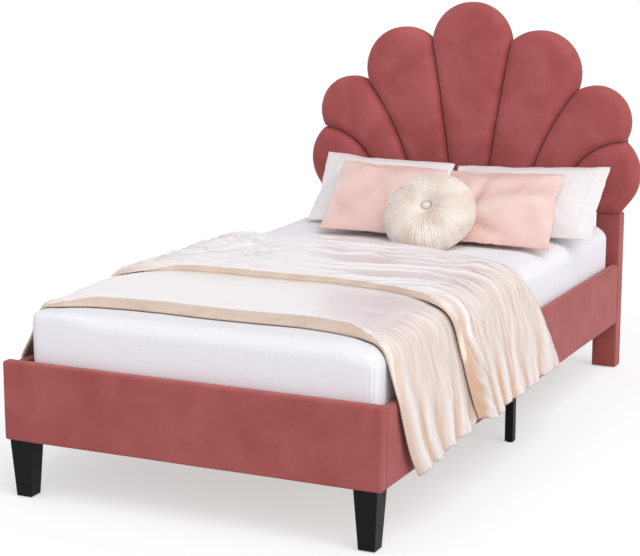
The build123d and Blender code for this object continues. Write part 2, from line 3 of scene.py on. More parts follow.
import bmesh
import bpy
import numpy as np
from mathutils import Matrix, Vector
from mathutils.bvhtree import BVHTree
from mathutils.kdtree import KDTree


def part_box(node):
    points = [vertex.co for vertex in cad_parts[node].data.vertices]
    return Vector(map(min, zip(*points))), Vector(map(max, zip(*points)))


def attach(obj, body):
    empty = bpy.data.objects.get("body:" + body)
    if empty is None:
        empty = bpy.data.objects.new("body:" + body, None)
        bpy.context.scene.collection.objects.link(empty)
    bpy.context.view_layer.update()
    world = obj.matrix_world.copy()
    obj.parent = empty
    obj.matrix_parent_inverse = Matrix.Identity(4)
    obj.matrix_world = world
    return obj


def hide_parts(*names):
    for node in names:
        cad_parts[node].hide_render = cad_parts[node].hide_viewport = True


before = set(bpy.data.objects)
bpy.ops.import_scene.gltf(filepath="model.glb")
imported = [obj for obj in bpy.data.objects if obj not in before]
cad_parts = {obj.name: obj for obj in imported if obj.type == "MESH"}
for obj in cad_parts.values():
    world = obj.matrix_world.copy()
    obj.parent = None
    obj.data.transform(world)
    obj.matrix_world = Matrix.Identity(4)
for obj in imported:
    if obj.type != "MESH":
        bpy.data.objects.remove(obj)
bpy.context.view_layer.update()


# Camera
# A long lens, standing to the right of the foot and a little above the headboard's height.
# Its place was solved from the straight edges of the frame.
camera_place = (2.0906, -4.6868, 1.4799)
camera_pan = 25.098
camera_tilt = 11.512
focal_pixels = 1800.1
photo_width_pixels = 640
camera = bpy.data.objects.new("camera", bpy.data.cameras.new("camera"))
bpy.context.scene.collection.objects.link(camera)
camera.location = camera_place
camera.rotation_euler = (math.radians(90 - camera_tilt), 0, math.radians(camera_pan))
camera.data.lens = camera.data.sensor_width * focal_pixels / photo_width_pixels
bpy.context.scene.camera = camera
bpy.context.scene.view_settings.view_transform = "Standard"


# Studio floor and light
# A pale, matt floor with no edge in sight, a broad soft key from above on the right with a low one
# beside it that brings out folds, a weak fill from the front, and an even sky. The floor and the sky
# show white to the camera and in gloss.
def linear(code):
    """The linear colour of an sRGB hex value."""
    shares = [int(code[n:n + 2], 16) / 255 for n in (1, 3, 5)]
    return tuple(s / 12.92 if s <= 0.04045 else ((s + 0.055) / 1.055) ** 2.4 for s in shares) + (1.0,)


def set_sockets(tree, node, sockets):
    """Links a node's sockets to the outputs of others, or sets them to plain values."""
    for socket, value in dict(sockets).items():
        if isinstance(value, bpy.types.NodeSocket):
            tree.links.new(value, node.inputs[socket])
        else:
            node.inputs[socket].default_value = value


def add_node(tree, kind, sockets=(), stops=(), **settings):
    """Adds a shader node with its fields and sockets, and the places and colours of a ramp."""
    node = tree.nodes.new("ShaderNode" + kind)
    for name, value in settings.items():
        setattr(node, name, value)
    set_sockets(tree, node, sockets)
    if stops:
        marks = node.color_ramp.elements
        marks[0].position, marks[1].position = stops[0][0], stops[-1][0]
        for place, _ in stops[1:-1]:
            marks.new(place)
        for mark, (_, code) in zip(marks, stops):
            mark.color = linear(code)
    return node


def seen_by(tree, *rays):
    """1 for the named kinds of ray, and 0 for the rest."""
    kinds = add_node(tree, "LightPath").outputs
    share = kinds[rays[0]]
    for ray in rays[1:]:
        share = add_node(tree, "Math", {0: share, 1: kinds[ray]}, operation="MAXIMUM").outputs[0]
    return share


def new_mesh(name, points, faces):
    """A mesh object at the origin, with its place in its points."""
    mesh = bpy.data.meshes.new(name)
    mesh.from_pydata([tuple(p) for p in points], [], [tuple(f) for f in faces])
    mesh.validate()
    piece = bpy.data.objects.new(name, mesh)
    bpy.context.scene.collection.objects.link(piece)
    return piece


floor_reach = 60.0
floor_corners = [(-1, -1), (1, -1), (1, 1), (-1, 1)]
floor = new_mesh("floor", [(x * floor_reach, y * floor_reach, 0) for x, y in floor_corners], [(0, 1, 2, 3)])
floor_paint = bpy.data.materials.new("white studio floor")
floor_paint.use_nodes = True
tree = floor_paint.node_tree
tree.nodes.clear()
lit = add_node(tree, "BsdfDiffuse", {"Color": linear("#E6E6E8")})
shade = add_node(tree, "BsdfDiffuse", {"Color": linear("#C5C5C5")})
paper = add_node(tree, "Emission", {"Color": linear("#FFFFFF"), "Strength": 0.5})
shown = add_node(tree, "AddShader", {0: shade.outputs[0], 1: paper.outputs[0]})
seen = seen_by(tree, "Is Camera Ray", "Is Glossy Ray")
mixed = add_node(tree, "MixShader", {0: seen, 1: lit.outputs[0], 2: shown.outputs[0]})
add_node(tree, "OutputMaterial", {"Surface": mixed.outputs[0]})
floor.data.materials.append(floor_paint)

sky_strength = 0.5
world = bpy.data.worlds.new("studio")
bpy.context.scene.world = world
world.use_nodes = True
tree = world.node_tree
tree.nodes.clear()
sky = add_node(tree, "Background", {"Color": linear("#F7F9FF"), "Strength": sky_strength})
backdrop = add_node(tree, "Background", {"Color": linear("#FFFFFF"), "Strength": 1.0})
seen = seen_by(tree, "Is Camera Ray", "Is Glossy Ray", "Is Transmission Ray")
mixed = add_node(tree, "MixShader", {0: seen, 1: sky.outputs[0], 2: backdrop.outputs[0]})
add_node(tree, "OutputWorld", {"Surface": mixed.outputs[0]})


def add_sun(name, towards, strength, spread):
    """A sun lamp that shines from a direction, as wide as a softbox."""
    sun = bpy.data.objects.new(name, bpy.data.lights.new(name, "SUN"))
    bpy.context.scene.collection.objects.link(sun)
    sun.rotation_mode = "QUATERNION"
    sun.rotation_quaternion = Vector(towards).to_track_quat("Z", "Y")
    sun.data.energy = strength
    sun.data.angle = math.radians(spread)


add_sun("key", (0.54, -0.36, 0.76), 1.55, 60)
add_sun("side", (0.95, -0.22, 0.22), 0.5, 20)
add_sun("fill", (-0.35, -0.85, 0.4), 0.5, 90)


# Timber frame inside the upholstery
# Planed softwood boards, battens and slats, sawn to length, screwed and glued, left unfinished.
# The grain runs along each board. The headboard is one board of birch plywood.
def start_material(name, roughness, sockets=()):
    """A new material, its tree, its main shader and the place of a point on the object in metres."""
    material = bpy.data.materials.new(name)
    material.use_nodes = True
    tree = material.node_tree
    shader = tree.nodes["Principled BSDF"]
    set_sockets(tree, shader, {"Roughness": roughness, "IOR": 1.5, **dict(sockets)})
    place = add_node(tree, "TexCoord").outputs["Object"]
    return material, tree, shader, place


def repeats(size):
    """A pattern's scale, from the real size of its marks in millimetres."""
    return 1000 / size


def softwood(grain_axis):
    """Pine, planed: pale and dull, with growth rings 8 mm apart that run out along the grain."""
    material, tree, shader, place = start_material("planed pine " + "XYZ"[grain_axis], 0.6)
    scale = [repeats(8)] * 3
    scale[grain_axis] = repeats(350)
    stretched = add_node(tree, "Mapping", {"Vector": place, "Scale": scale})
    rings = add_node(tree, "TexNoise", {"Vector": stretched.outputs[0], "Scale": 1.0, "Detail": 4.0})
    colour = add_node(tree, "ValToRGB", {"Fac": rings.outputs["Fac"]},
                      [(0.3, "#C9A574"), (0.5, "#DDBE90"), (0.72, "#E8CFA5")])
    bump = add_node(tree, "Bump", {"Height": rings.outputs["Fac"], "Strength": 0.15, "Distance": 0.001})
    set_sockets(tree, shader, {"Base Color": colour.outputs["Color"], "Normal": bump.outputs[0]})
    return material


def dress(node, material):
    """Gives a CAD node its finish."""
    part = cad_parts[node]
    part.data.materials.clear()
    part.data.materials.append(material)


pine_across, pine_along, pine_upright = softwood(0), softwood(1), softwood(2)
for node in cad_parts:
    if node.startswith(("slat_0", "slat_1")) or node in ("footboard_core", "head_rail"):
        dress(node, pine_across)
    elif node.startswith(("side_rail_core", "slat_ledger")) or node == "centre_beam":
        dress(node, pine_along)
    elif node.startswith(("corner_block", "beam_cleat", "head_post")):
        dress(node, pine_upright)


def bands(size):
    """The scale of a wave pattern, from the real distance of its bands in millimetres."""
    return math.pi / 10 * repeats(size)


# Birch plywood, sawn: its layers show as stripes at the edge, drawn 6 mm thick so that they show,
# and its faces have a long faint figure.
plywood, tree, shader, place = start_material("birch plywood", 0.6)
layers = add_node(tree, "TexWave", {"Vector": place, "Scale": bands(6.31), "Distortion": 0.4},
                  bands_direction="Y")
figure = add_node(tree, "Mapping", {"Vector": place, "Scale": (repeats(71), repeats(3.3), repeats(400))})
cloud = add_node(tree, "TexNoise", {"Vector": figure.outputs[0], "Scale": 1.0, "Detail": 5.0})
blend = add_node(tree, "Math", {0: layers.outputs["Fac"], 1: cloud.outputs["Fac"]}, operation="MULTIPLY")
colour = add_node(tree, "ValToRGB", {"Fac": blend.outputs[0]},
                  [(0.1, "#A98257"), (0.45, "#CFAE80"), (0.8, "#DCC197")])
set_sockets(tree, shader, {"Base Color": colour.outputs["Color"]})
dress("headboard_board", plywood)


# Steel angles and bolts
# Pressed angles between rails and posts, and the turned bolts of legs and headboard. They are of
# steel, zinc plated, which gives a cool grey with a fine frosty spangle.
def patterned(name, roughness, pattern, stops, relief=None, sockets=(), **settings):
    """A material whose colours, and relief if it has any, follow one pattern of noise, cells or bands."""
    material, tree, shader, place = start_material(name, roughness, sockets)
    kind, marks = pattern
    texture = add_node(tree, kind, {"Vector": place, **marks}, **settings)
    shown = texture.outputs["Distance" if kind == "TexVoronoi" else "Fac"]
    colour = add_node(tree, "ValToRGB", {"Fac": shown}, stops)
    set_sockets(tree, shader, {"Base Color": colour.outputs["Color"]})
    if relief:
        bump = add_node(tree, "Bump", {"Height": shown, "Strength": relief[0], "Distance": relief[1]})
        set_sockets(tree, shader, {"Normal": bump.outputs[0]})
    return material


zinc = patterned("zinc plated steel", 0.38, ("TexVoronoi", {"Scale": repeats(4)}),
                 [(0.0, "#A9ABAF"), (1.0, "#C6C8CB")], sockets={"Metallic": 1.0})
for node in ("head_bracket_left", "head_bracket_right", "leg_bolts", "headboard_bolts"):
    dress(node, zinc)


# Legs and glides
# Tapered beech front legs and slim middle legs, sprayed satin black, on moulded nylon glides.
# The paint has a faint orange peel, so its highlights are broad and soft.
paint = patterned("satin black lacquer", 0.45, ("TexNoise", {"Scale": repeats(4), "Detail": 2.0}),
                  [(0.35, "#0D0D0F"), (0.7, "#151517")], (0.12, 0.0005), {"Specular IOR Level": 0.12})
for node in ("front_leg_left", "front_leg_right", "mid_leg_left", "mid_leg_right", "centre_leg"):
    dress(node, paint)

# Nylon, moulded: near black and a little duller than the paint, with the mould's fine grain.
nylon = patterned("moulded nylon", 0.55, ("TexNoise", {"Scale": repeats(1.5)}),
                  [(0.3, "#0F1011"), (0.7, "#18191A")], sockets={"IOR": 1.53})
for node in ("floor_glides", "mid_leg_glides"):
    dress(node, nylon)


# Velvet on the footboard, side rails and head posts
# Short cut pile on a knitted back, pulled over thin foam and stapled round the back of each board.
# The pile gives a pale sheen where the cloth turns away from the eye, and brushed patches in its nap.
def velvet_cloth(name, nap_codes):
    """Cut-pile velvet: brushed patches as wide as a hand, and pile drawn 2.5 mm coarse so that it shows."""
    material, tree, shader, place = start_material(name, 0.85, {
        "IOR": 1.45, "Specular IOR Level": 0.15, "Sheen Weight": 0.45, "Sheen Roughness": 0.38,
        "Sheen Tint": linear("#F3C9C4")})
    brushed = add_node(tree, "TexNoise", {"Vector": place, "Scale": repeats(110), "Detail": 3.0,
                                          "Roughness": 0.45, "Distortion": 0.6})
    pile = add_node(tree, "TexNoise", {"Vector": place, "Scale": repeats(2.5), "Detail": 2.0})
    weight = add_node(tree, "Math", {0: pile.outputs["Fac"], 1: 0.25}, operation="MULTIPLY")
    nap = add_node(tree, "Math", {0: brushed.outputs["Fac"], 1: weight.outputs[0]}, operation="ADD")
    colour = add_node(tree, "ValToRGB", {"Fac": nap.outputs[0]}, list(zip((0.45, 0.62, 0.8), nap_codes)))
    bump = add_node(tree, "Bump", {"Height": pile.outputs["Fac"], "Strength": 0.25, "Distance": 0.0006})
    set_sockets(tree, shader, {"Base Color": colour.outputs["Color"], "Normal": bump.outputs[0]})
    return material


velvet = velvet_cloth("dusty rose velvet", ("#9D514E", "#A35654", "#A95C5A"))
# The petals get a lighter copy of the same velvet: painted light, standing in for the light that falls on
# them.
petal_velvet_painted_lighter = velvet_cloth("dusty rose velvet painted lighter for the petals", ("#A35250", "#AA5756", "#B15F5E"))


def wander(u, v, seed=0.0):
    """Smooth noise from -1 to 1 on a grid of unit cells, for arrays of places."""
    def spot(i, j):
        # The odd numbers only scatter the values of the grid's corners.
        mixed = np.sin(i * 127.1 + j * 311.7 + seed * 74.7) * 43758.5453
        return 2 * (mixed - np.floor(mixed)) - 1

    u, v = np.asarray(u, float), np.asarray(v, float)
    i, j = np.floor(u), np.floor(v)
    a, b = u - i, v - j
    a, b = a * a * (3 - 2 * a), b * b * (3 - 2 * b)
    near = spot(i, j) * (1 - a) + spot(i + 1, j) * a
    far = spot(i, j + 1) * (1 - a) + spot(i + 1, j + 1) * a
    return near * (1 - b) + far * b


def smooth_step(x, start, end):
    """From 0 to 1 between two places, with no corner."""
    share = np.clip((np.asarray(x, float) - start) / (end - start), 0, 1)
    return share * share * (3 - 2 * share)


def edge_stops(start, end, radius, step):
    """Places across one side of a block: close together where it rounds, then evenly spaced."""
    turn = [radius * (1 - math.tan(math.radians(angle))) for angle in (45, 36, 27, 18, 9, 0)]
    count = max(2, math.ceil((end - start - 2 * radius) / step))
    middle = list(np.linspace(start + radius, end - radius, count + 1))[1:-1]
    return [start + t for t in turn] + middle + [end - t for t in reversed(turn)]


cell_corners = ((0, 0), (1, 0), (1, 1), (0, 1))


def rounded_block(low, high, radius, step):
    """A block's surface with rounded edges, as points, their outward directions, and quads."""
    stops = [edge_stops(low[k], high[k], radius, step) for k in range(3)]
    sizes = [len(s) for s in stops]
    index, points, faces = {}, [], []

    def corner(key):
        if key not in index:
            index[key] = len(points)
            points.append([stops[k][key[k]] for k in range(3)])
        return index[key]

    for k in range(3):
        a, b = (k + 1) % 3, (k + 2) % 3
        for end in (0, sizes[k] - 1):
            for i in range(sizes[a] - 1):
                for j in range(sizes[b] - 1):
                    face = []
                    for di, dj in cell_corners:
                        key = [0, 0, 0]
                        key[k], key[a], key[b] = end, i + di, j + dj
                        face.append(corner(tuple(key)))
                    faces.append(face if end else face[::-1])
    points = np.array(points)
    inner = np.clip(points, np.array(low) + radius, np.array(high) - radius)
    away = points - inner
    away /= np.linalg.norm(away, axis=1)[:, None]
    return inner + away * radius, away, faces


def shade_smooth(piece):
    """Lets a piece's faces blend into each other."""
    piece.data.polygons.foreach_set("use_smooth", [True] * len(piece.data.polygons))


def finish_piece(piece, material, body, replaced=()):
    """Gives a piece its finish and its body, and hides the CAD parts that it stands for."""
    piece.data.materials.clear()
    piece.data.materials.append(material)
    shade_smooth(piece)
    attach(piece, body)
    if replaced:
        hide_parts(*replaced)


def thicken(piece, thickness, offset):
    """Gives a skin its thickness: inwards at an offset of -1, and to both sides at 0."""
    thick = piece.modifiers.new("thickness", "SOLIDIFY")
    thick.thickness, thick.offset = thickness, offset


velvet_thick, velvet_proud, stapled_lip = 0.003, 0.001, 0.035
board_round, post_round, skin_step = 0.007, 0.004, 0.012


def velvet_wrap(node, inner_axis, inner_sign):
    """Velvet over a board: all of its outside, with lips turned onto the inner face."""
    low, high = (np.array(c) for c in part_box(node))
    if inner_sign > 0:
        high[inner_axis] += velvet_proud
    else:
        low[inner_axis] -= velvet_proud
    points, away, faces = rounded_block(low, high, board_round, skin_step)
    sway = wander(points[:, 0] / 0.13 + points[:, 2] / 0.21, points[:, 1] / 0.13 + points[:, 2] / 0.09, 3)
    points = points + away * (sway * 0.0005)[:, None]
    others = [k for k in range(3) if k != inner_axis]
    kept = []
    for face in faces:
        middle = points[face].mean(axis=0)
        at_back = abs(middle[inner_axis] - (high if inner_sign > 0 else low)[inner_axis]) < 2 * velvet_proud
        room = min(min(middle[k] - low[k], high[k] - middle[k]) for k in others)
        if not (at_back and room > stapled_lip):
            kept.append(face)
    piece = new_mesh(node.replace("cover", "velvet"), points, kept)
    thicken(piece, velvet_thick, -1)
    finish_piece(piece, velvet, "bed_frame", [node])


velvet_wrap("footboard_cover", 1, 1)
velvet_wrap("side_rail_cover_right", 0, -1)
velvet_wrap("side_rail_cover_left", 0, 1)
for side in ("left", "right"):
    node = "post_cover_" + side
    low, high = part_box(node)
    points, away, faces = rounded_block(low, high + Vector((0, 0, 0.0008)), post_round, skin_step)
    piece = new_mesh("post_velvet_" + side, points, faces)
    finish_piece(piece, velvet, "bed_frame", [node])


# Headboard petals
# Seven foam pads on one board, each in its own velvet cover, butted so that a tight seam shows between.
# Every pad is crowned towards its middle, and the cloth puckers a little where it turns into a seam.
# The pads stand back from the mattress, whose sheet passes close by them when it is lifted out.
def copy_of(node, name):
    """A new piece with the same mesh as a CAD node."""
    piece = bpy.data.objects.new(name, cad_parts[node].data.copy())
    bpy.context.scene.collection.objects.link(piece)
    return piece


def settled(piece):
    """Applies a piece's modifiers."""
    seen = piece.evaluated_get(bpy.context.evaluated_depsgraph_get())
    mesh = bpy.data.meshes.new_from_object(seen)
    piece.modifiers.clear()
    piece.data = mesh


def points_of(piece):
    """A mesh's points as an array."""
    return np.array([v.co for v in piece.data.vertices], float).reshape(-1, 3)


def set_points(piece, points):
    """Moves a mesh's points."""
    piece.data.vertices.foreach_set("co", np.asarray(points, np.float32).ravel())
    piece.data.update()


def room_from(outline, points):
    """How far each point lies from an outline, seen from the front."""
    tree = KDTree(len(outline))
    for n, p in enumerate(outline):
        tree.insert((p[0], 0, p[2]), n)
    tree.balance()
    return np.array([tree.find((p[0], 0, p[2]))[2] for p in points])


pad_crown, crown_reach, pad_stands_back = 0.007, 0.035, 0.0095
pucker_depth, pucker_reach, pucker_turn = 0.0009, 0.022, 0.028
fan_foot = 0.45


def petal_pad(node):
    """One petal: the CAD pad remeshed, crowned away from its seams and slightly puckered along them."""
    pad = copy_of(node, node + "_pad")
    outline = points_of(pad)
    back = outline[:, 1].max()
    rim = outline[outline[:, 1] > back - 0.001]
    remesh = pad.modifiers.new("even", "REMESH")
    remesh.mode = "VOXEL"
    remesh.voxel_size = 0.005
    ease = pad.modifiers.new("ease", "SMOOTH")
    ease.factor, ease.iterations = 0.5, 6
    settled(pad)
    points = points_of(pad)
    room = room_from(rim, points)
    ahead = smooth_step(back - points[:, 1], 0.008, 0.036)
    crown = pad_crown * (1 - np.exp(-room / crown_reach)) - pad_stands_back
    angle = np.arctan2(points[:, 0], points[:, 2] - fan_foot) / pucker_turn
    pucker = wander(angle, room / 0.12, 5) * pucker_depth * np.exp(-room / pucker_reach)
    sway = wander(points[:, 0] / 0.09, points[:, 2] / 0.13, 9) * 0.0007
    points[:, 1] -= ahead * (crown + pucker + sway)
    set_points(pad, points)
    finish_piece(pad, petal_velvet_painted_lighter, "bed_frame", [node])


for n in range(1, 8):
    petal_pad("petal_" + str(n))


# Back of the headboard
# The velvet turns over the board's scalloped edge and is stapled to its back. A thin black
# cloth of bonded fibre covers the raw edge of the velvet, with its own row of staples.
def back_outline(node):
    """The ordered points of a CAD plate's outline, at its back face."""
    mesh = bmesh.new()
    mesh.from_mesh(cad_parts[node].data)
    bmesh.ops.remove_doubles(mesh, verts=mesh.verts, dist=0.00001)
    back = max(v.co.y for v in mesh.verts)
    edges = {}
    for edge in mesh.edges:
        flat = [f for f in edge.link_faces if f.normal.y > 0.9]
        if len(flat) == 1 and all(v.co.y > back - 0.0001 for v in edge.verts):
            for a, b in (edge.verts, reversed(edge.verts)):
                edges.setdefault(a, []).append(b)
    loops = []
    while edges:
        start = next(iter(edges))
        loop, here = [], start
        while here in edges:
            loop.append(here.co.copy())
            onward = [v for v in edges.pop(here) if v in edges]
            here = onward[0] if onward else None
        loops.append(loop)
    mesh.free()
    return np.array(max(loops, key=len))


def evenly(outline, step):
    """Points at even distances along a closed outline, with one at each of its sharp corners."""
    closed = np.vstack([outline, outline[:1]])
    runs = np.diff(closed, axis=0)
    run = np.concatenate([[0], np.cumsum(np.linalg.norm(runs, axis=1))])
    ways = runs / np.linalg.norm(runs, axis=1)[:, None]
    bend = np.sum(ways * np.roll(ways, 1, axis=0), axis=1)
    corners = list(run[:-1][bend < math.cos(math.radians(25))]) or [0.0]
    places = []
    for start, end in zip(corners, corners[1:] + [corners[0] + run[-1]]):
        places += list(np.linspace(start, end, max(2, round((end - start) / step)), endpoint=False))
    places = np.array(places) % run[-1]
    return np.stack([np.interp(places, run, closed[:, k]) for k in range(closed.shape[1])], axis=1)


def inward(outline):
    """The direction into the plate at each point of a flat outline in X and Z."""
    ahead = np.roll(outline, -1, axis=0) - np.roll(outline, 1, axis=0)
    side = np.stack([-ahead[:, 2], np.zeros(len(outline)), ahead[:, 0]], axis=1)
    side /= np.linalg.norm(side, axis=1)[:, None]
    area = np.sum(outline[:, 0] * np.roll(outline[:, 2], -1) - np.roll(outline[:, 0], -1) * outline[:, 2])
    return side if area > 0 else -side


def ribbon_faces(rows, columns, closed):
    """Quads between rows of points, each row closed into a ring or left open."""
    reach = columns if closed else columns - 1
    return [
        (r * columns + c, r * columns + (c + 1) % columns,
         (r + 1) * columns + (c + 1) % columns, (r + 1) * columns + c)
        for r in range(rows - 1) for c in range(reach)
    ]


board_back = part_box("headboard_board")[1].y
pad_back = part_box("petal_4")[1].y
edge_line = evenly(back_outline("headboard_board"), 0.008)
into = inward(edge_line)
wrap_proud, wrap_lip = 0.0035, 0.022
wrap_section = [(0.0, pad_back - 0.002), (-wrap_proud, pad_back + 0.002),
                (-wrap_proud, board_back - 0.001), (-0.002, board_back + 0.0008),
                (0.006, board_back + 0.0012), (wrap_lip, board_back + 0.0008)]
rows = []
for reach, depth in wrap_section:
    row = edge_line + into * reach
    row[:, 1] = depth
    if reach > 0:
        row[:, 1] += 0.0004 * wander(np.arange(len(row)) / 1.7, reach * 300, 2)
    rows.append(row)
wrap = new_mesh("headboard_edge_velvet", np.vstack(rows), ribbon_faces(len(rows), len(edge_line), True))
finish_piece(wrap, velvet, "bed_frame")

# Polypropylene fibre, bonded into cloth: dull black, with the weld points as a faint pebbling.
bonded = patterned("black bonded-fibre cloth", 0.9, ("TexVoronoi", {"Scale": repeats(3)}),
                   [(0.0, "#1C1C1E"), (0.6, "#2A2A2C")], (0.4, 0.0005))

cloth_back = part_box("headboard_back_cloth")[1].y
cloth_edge = evenly(back_outline("headboard_back_cloth"), 0.012)
cloth_low, cloth_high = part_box("headboard_back_cloth")
mesh = bmesh.new()
ring = [mesh.verts.new(p) for p in cloth_edge]
mesh.faces.new(ring)
bmesh.ops.triangulate(mesh, faces=mesh.faces[:])
cut_step = 0.025
for axis in (0, 2):
    for place in np.arange(cloth_low[axis] + cut_step, cloth_high[axis], cut_step):
        point, normal = [0, 0, 0], [0, 0, 0]
        point[axis], normal[axis] = place, 1
        every = mesh.verts[:] + mesh.edges[:] + mesh.faces[:]
        bmesh.ops.bisect_plane(mesh, geom=every, plane_co=point, plane_no=normal)
bmesh.ops.remove_doubles(mesh, verts=mesh.verts, dist=0.0002)
cloth = bpy.data.objects.new("headboard_back_cover", bpy.data.meshes.new("headboard_back_cover"))
bpy.context.scene.collection.objects.link(cloth)
mesh.to_mesh(cloth.data)
mesh.free()
points = points_of(cloth)
room = room_from(cloth_edge, points)
slack = wander(points[:, 0] / 0.16, points[:, 2] / 0.1, 4) * 0.0012
slack += wander(np.arctan2(points[:, 0], points[:, 2]) / 0.03, room / 0.2, 6) * 0.0006
# The cloth hangs slack between its staples, but never sinks into the board.
points[:, 1] = np.maximum(cloth_back - 0.0002 + slack * smooth_step(room, 0.005, 0.06), board_back + 0.0005)
set_points(cloth, points)
finish_piece(cloth, bonded, "bed_frame", ["headboard_back_cloth"])

# Galvanised wire, drawn and flattened: bright grey metal.
wire = start_material("galvanised staple wire", 0.3, {
    "Metallic": 1.0, "Base Color": linear("#B9BBBE")})[0]


def add_staples(name, places, along, out, crown=0.010, gauge=0.0009):
    """Flat wire staples: only their crowns show, each at a place, along one way and proud another."""
    points, faces = [], []
    for place, way, up in zip(places, along, out):
        across = np.cross(way, up)
        base = len(points)
        for i in (-1, 1):
            for j in (-1, 1):
                for k in (0, 1):
                    points.append(place + way * i * crown / 2 + across * j * gauge / 2 + up * k * gauge)
        faces += [tuple(base + n for n in face) for face in
                  ((0, 1, 3, 2), (4, 6, 7, 5), (0, 4, 5, 1), (2, 3, 7, 6), (1, 5, 7, 3), (0, 2, 6, 4))]
    staples = new_mesh(name, points, faces)
    finish_piece(staples, wire, "bed_frame")
    staples.data.polygons.foreach_set("use_smooth", [False] * len(staples.data.polygons))


staple_pitch, staple_inset = 0.034, 0.007
staple_line = evenly(back_outline("headboard_back_cloth"), staple_pitch)
into = inward(staple_line)
places = staple_line + into * staple_inset
places[:, 1] = cloth_back
ways = np.cross(into, (0, 1, 0))
add_staples("back_cover_staples", places, ways, np.tile((0.0, 1.0, 0.0), (len(places), 1)))


# Slat straps
# Two straps of woven polyester webbing, stapled under every slat, with a little slack between slats.
# The weft shows as fine cross ribs, drawn 6 mm apart so that they show.
webbing = patterned("woven polyester webbing", 0.75, ("TexWave", {"Scale": bands(5.92)}),
                    [(0.2, "#CFCBC2"), (0.8, "#E4E1DA")], (0.5, 0.0006), bands_direction="Y")
slat_names = sorted(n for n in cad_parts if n.startswith("slat_") and n[5:].isdigit())
slat_boxes = [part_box(n) for n in slat_names]
strap_low, strap_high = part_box("slat_straps")
strap_wide, strap_thick, strap_sag = 0.025, 0.0012, 0.004
steps_between = 8
for side, name in ((-1, "left"), (1, "right")):
    middle = side * (strap_high.x - strap_wide / 2)
    line = []
    for (low, high), (after, _) in zip(slat_boxes, slat_boxes[1:] + [(None, None)]):
        line += [(low.y, 0.0), (high.y, 0.0)]
        if after is not None:
            for n in range(1, steps_between):
                share = n / steps_between
                line.append((high.y + (after.y - high.y) * share, strap_sag * math.sin(math.pi * share)))
    rows = []
    for across in (-0.5, -0.17, 0.17, 0.5):
        rows += [(middle + across * strap_wide, y, strap_high.z - 0.0002 - sag) for y, sag in line]
    strap = new_mesh("slat_strap_" + name, rows, ribbon_faces(4, len(line), False))
    thicken(strap, strap_thick, 0)
    finish_piece(strap, webbing, "bed_frame", ["slat_straps"])
    middles = [(low.y + high.y) / 2 for low, high in slat_boxes]
    places = [np.array((middle, y, strap_high.z - 0.0008)) for y in middles]
    ways = np.tile((1.0, 0.0, 0.0), (len(places), 1))
    add_staples("strap_staples_" + name, places, ways, np.tile((0.0, 0.0, -1.0), (len(places), 1)))


# Mattress
# A foam mattress in knitted ticking with a corded seam round its lower edge. Only its underside
# shows, between the slats.

# Ticking, knitted over a thin filler: dull off-white, with soft round dimples 12 mm apart.
ticking = patterned("knitted mattress ticking", 0.85, ("TexVoronoi", {"Scale": repeats(12)}),
                    [(0.1, "#E9E8E4"), (0.6, "#D5D4D0")], (0.5, 0.002), feature="SMOOTH_F1")
low, high = (np.array(c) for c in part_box("mattress"))
shoulder, crown_drop = 0.105, 0.015
mattress_round, mattress_step = 0.04, 0.05
mattress_middle = (low[1] + high[1]) / 2


def crowned(points, low, high):
    """Lets a mattress's top slope down to its long sides."""
    half = high[0]
    fall = crown_drop * smooth_step(np.abs(points[:, 0]), half - shoulder, half)
    share = smooth_step(points[:, 2], low[2] + 0.1, high[2] - 0.01)
    points[:, 2] -= fall * share
    return points


sheet_gap = np.array((0.0045, 0.0045, 0.0))
corner_shift = 0.034


def corner_stands_in(x, y, front):
    """How far the left foot corner stands in from the rail at a place, with the mattress's front given."""
    return corner_shift * (1 - smooth_step(y, front + 0.06, front + 0.42)) * smooth_step(-x, 0.25, 0.46)


def foot_corners(points, low, radius):
    """Squares a mattress's upright corners, and lets its left foot corner stand in from the rail."""
    for side in (-1, 1):
        for end, y in ((-1, low[1] + radius), (1, -low[1] - radius + 2 * mattress_middle)):
            across, along = points[:, 0] * side + (low[0] + radius), (points[:, 1] - y) * end
            at_corner = (across > 0) & (along > 0)
            angle = np.arctan2(along[at_corner], across[at_corner])
            fuller = (np.abs(np.cos(angle)) ** 4 + np.abs(np.sin(angle)) ** 4) ** -0.25
            points[at_corner, 0] = side * (across[at_corner] * fuller - (low[0] + radius))
            points[at_corner, 1] = y + end * along[at_corner] * fuller
    points[:, 0] += corner_stands_in(points[:, 0], points[:, 1], low[1])
    return points


points, away, faces = rounded_block(low + sheet_gap, high - sheet_gap - np.array((0, 0, 0.003)),
                                    mattress_round, mattress_step)
points = foot_corners(crowned(points, low, high), low + sheet_gap, mattress_round)
mattress = new_mesh("mattress_body", points, faces)
finish_piece(mattress, ticking, "mattress", ["mattress"])
cord_radius, cord_rise, cord_inset, corner_round = 0.003, 0.012, 0.004, 0.035
cord_line = []
for sx, sy, start in ((1, 1, 0), (-1, 1, 90), (-1, -1, 180), (1, -1, 270)):
    cx = sx * (high[0] - cord_inset - corner_round)
    cy = (high[1] - cord_inset - corner_round) if sy > 0 else (low[1] + cord_inset + corner_round)
    for n in range(7):
        a = math.radians(start + 15 * n)
        cord_line.append((cx + corner_round * math.cos(a), cy + corner_round * math.sin(a),
                          low[2] + cord_rise))
cord_line = evenly(np.array(cord_line), 0.02)
into = np.roll(cord_line, -1, axis=0) - np.roll(cord_line, 1, axis=0)
into /= np.linalg.norm(into, axis=1)[:, None]
side = np.cross(into, (0, 0, 1))
rows = [cord_line + side * (cord_radius * math.cos(a)) + np.array((0, 0, cord_radius * math.sin(a)))
        for a in np.linspace(0, 2 * math.pi, 8, endpoint=False)]
piping = new_mesh("mattress_piping", np.vstack(rows + rows[:1]), ribbon_faces(9, len(cord_line), True))
finish_piece(piping, ticking, "mattress")


# Fitted sheet
# White cotton percale, elasticated below, with a sewn dart at each corner. It is pulled smooth,
# so it shows only long soft waves, a few tension lines by the corners and the darts' double stitching.

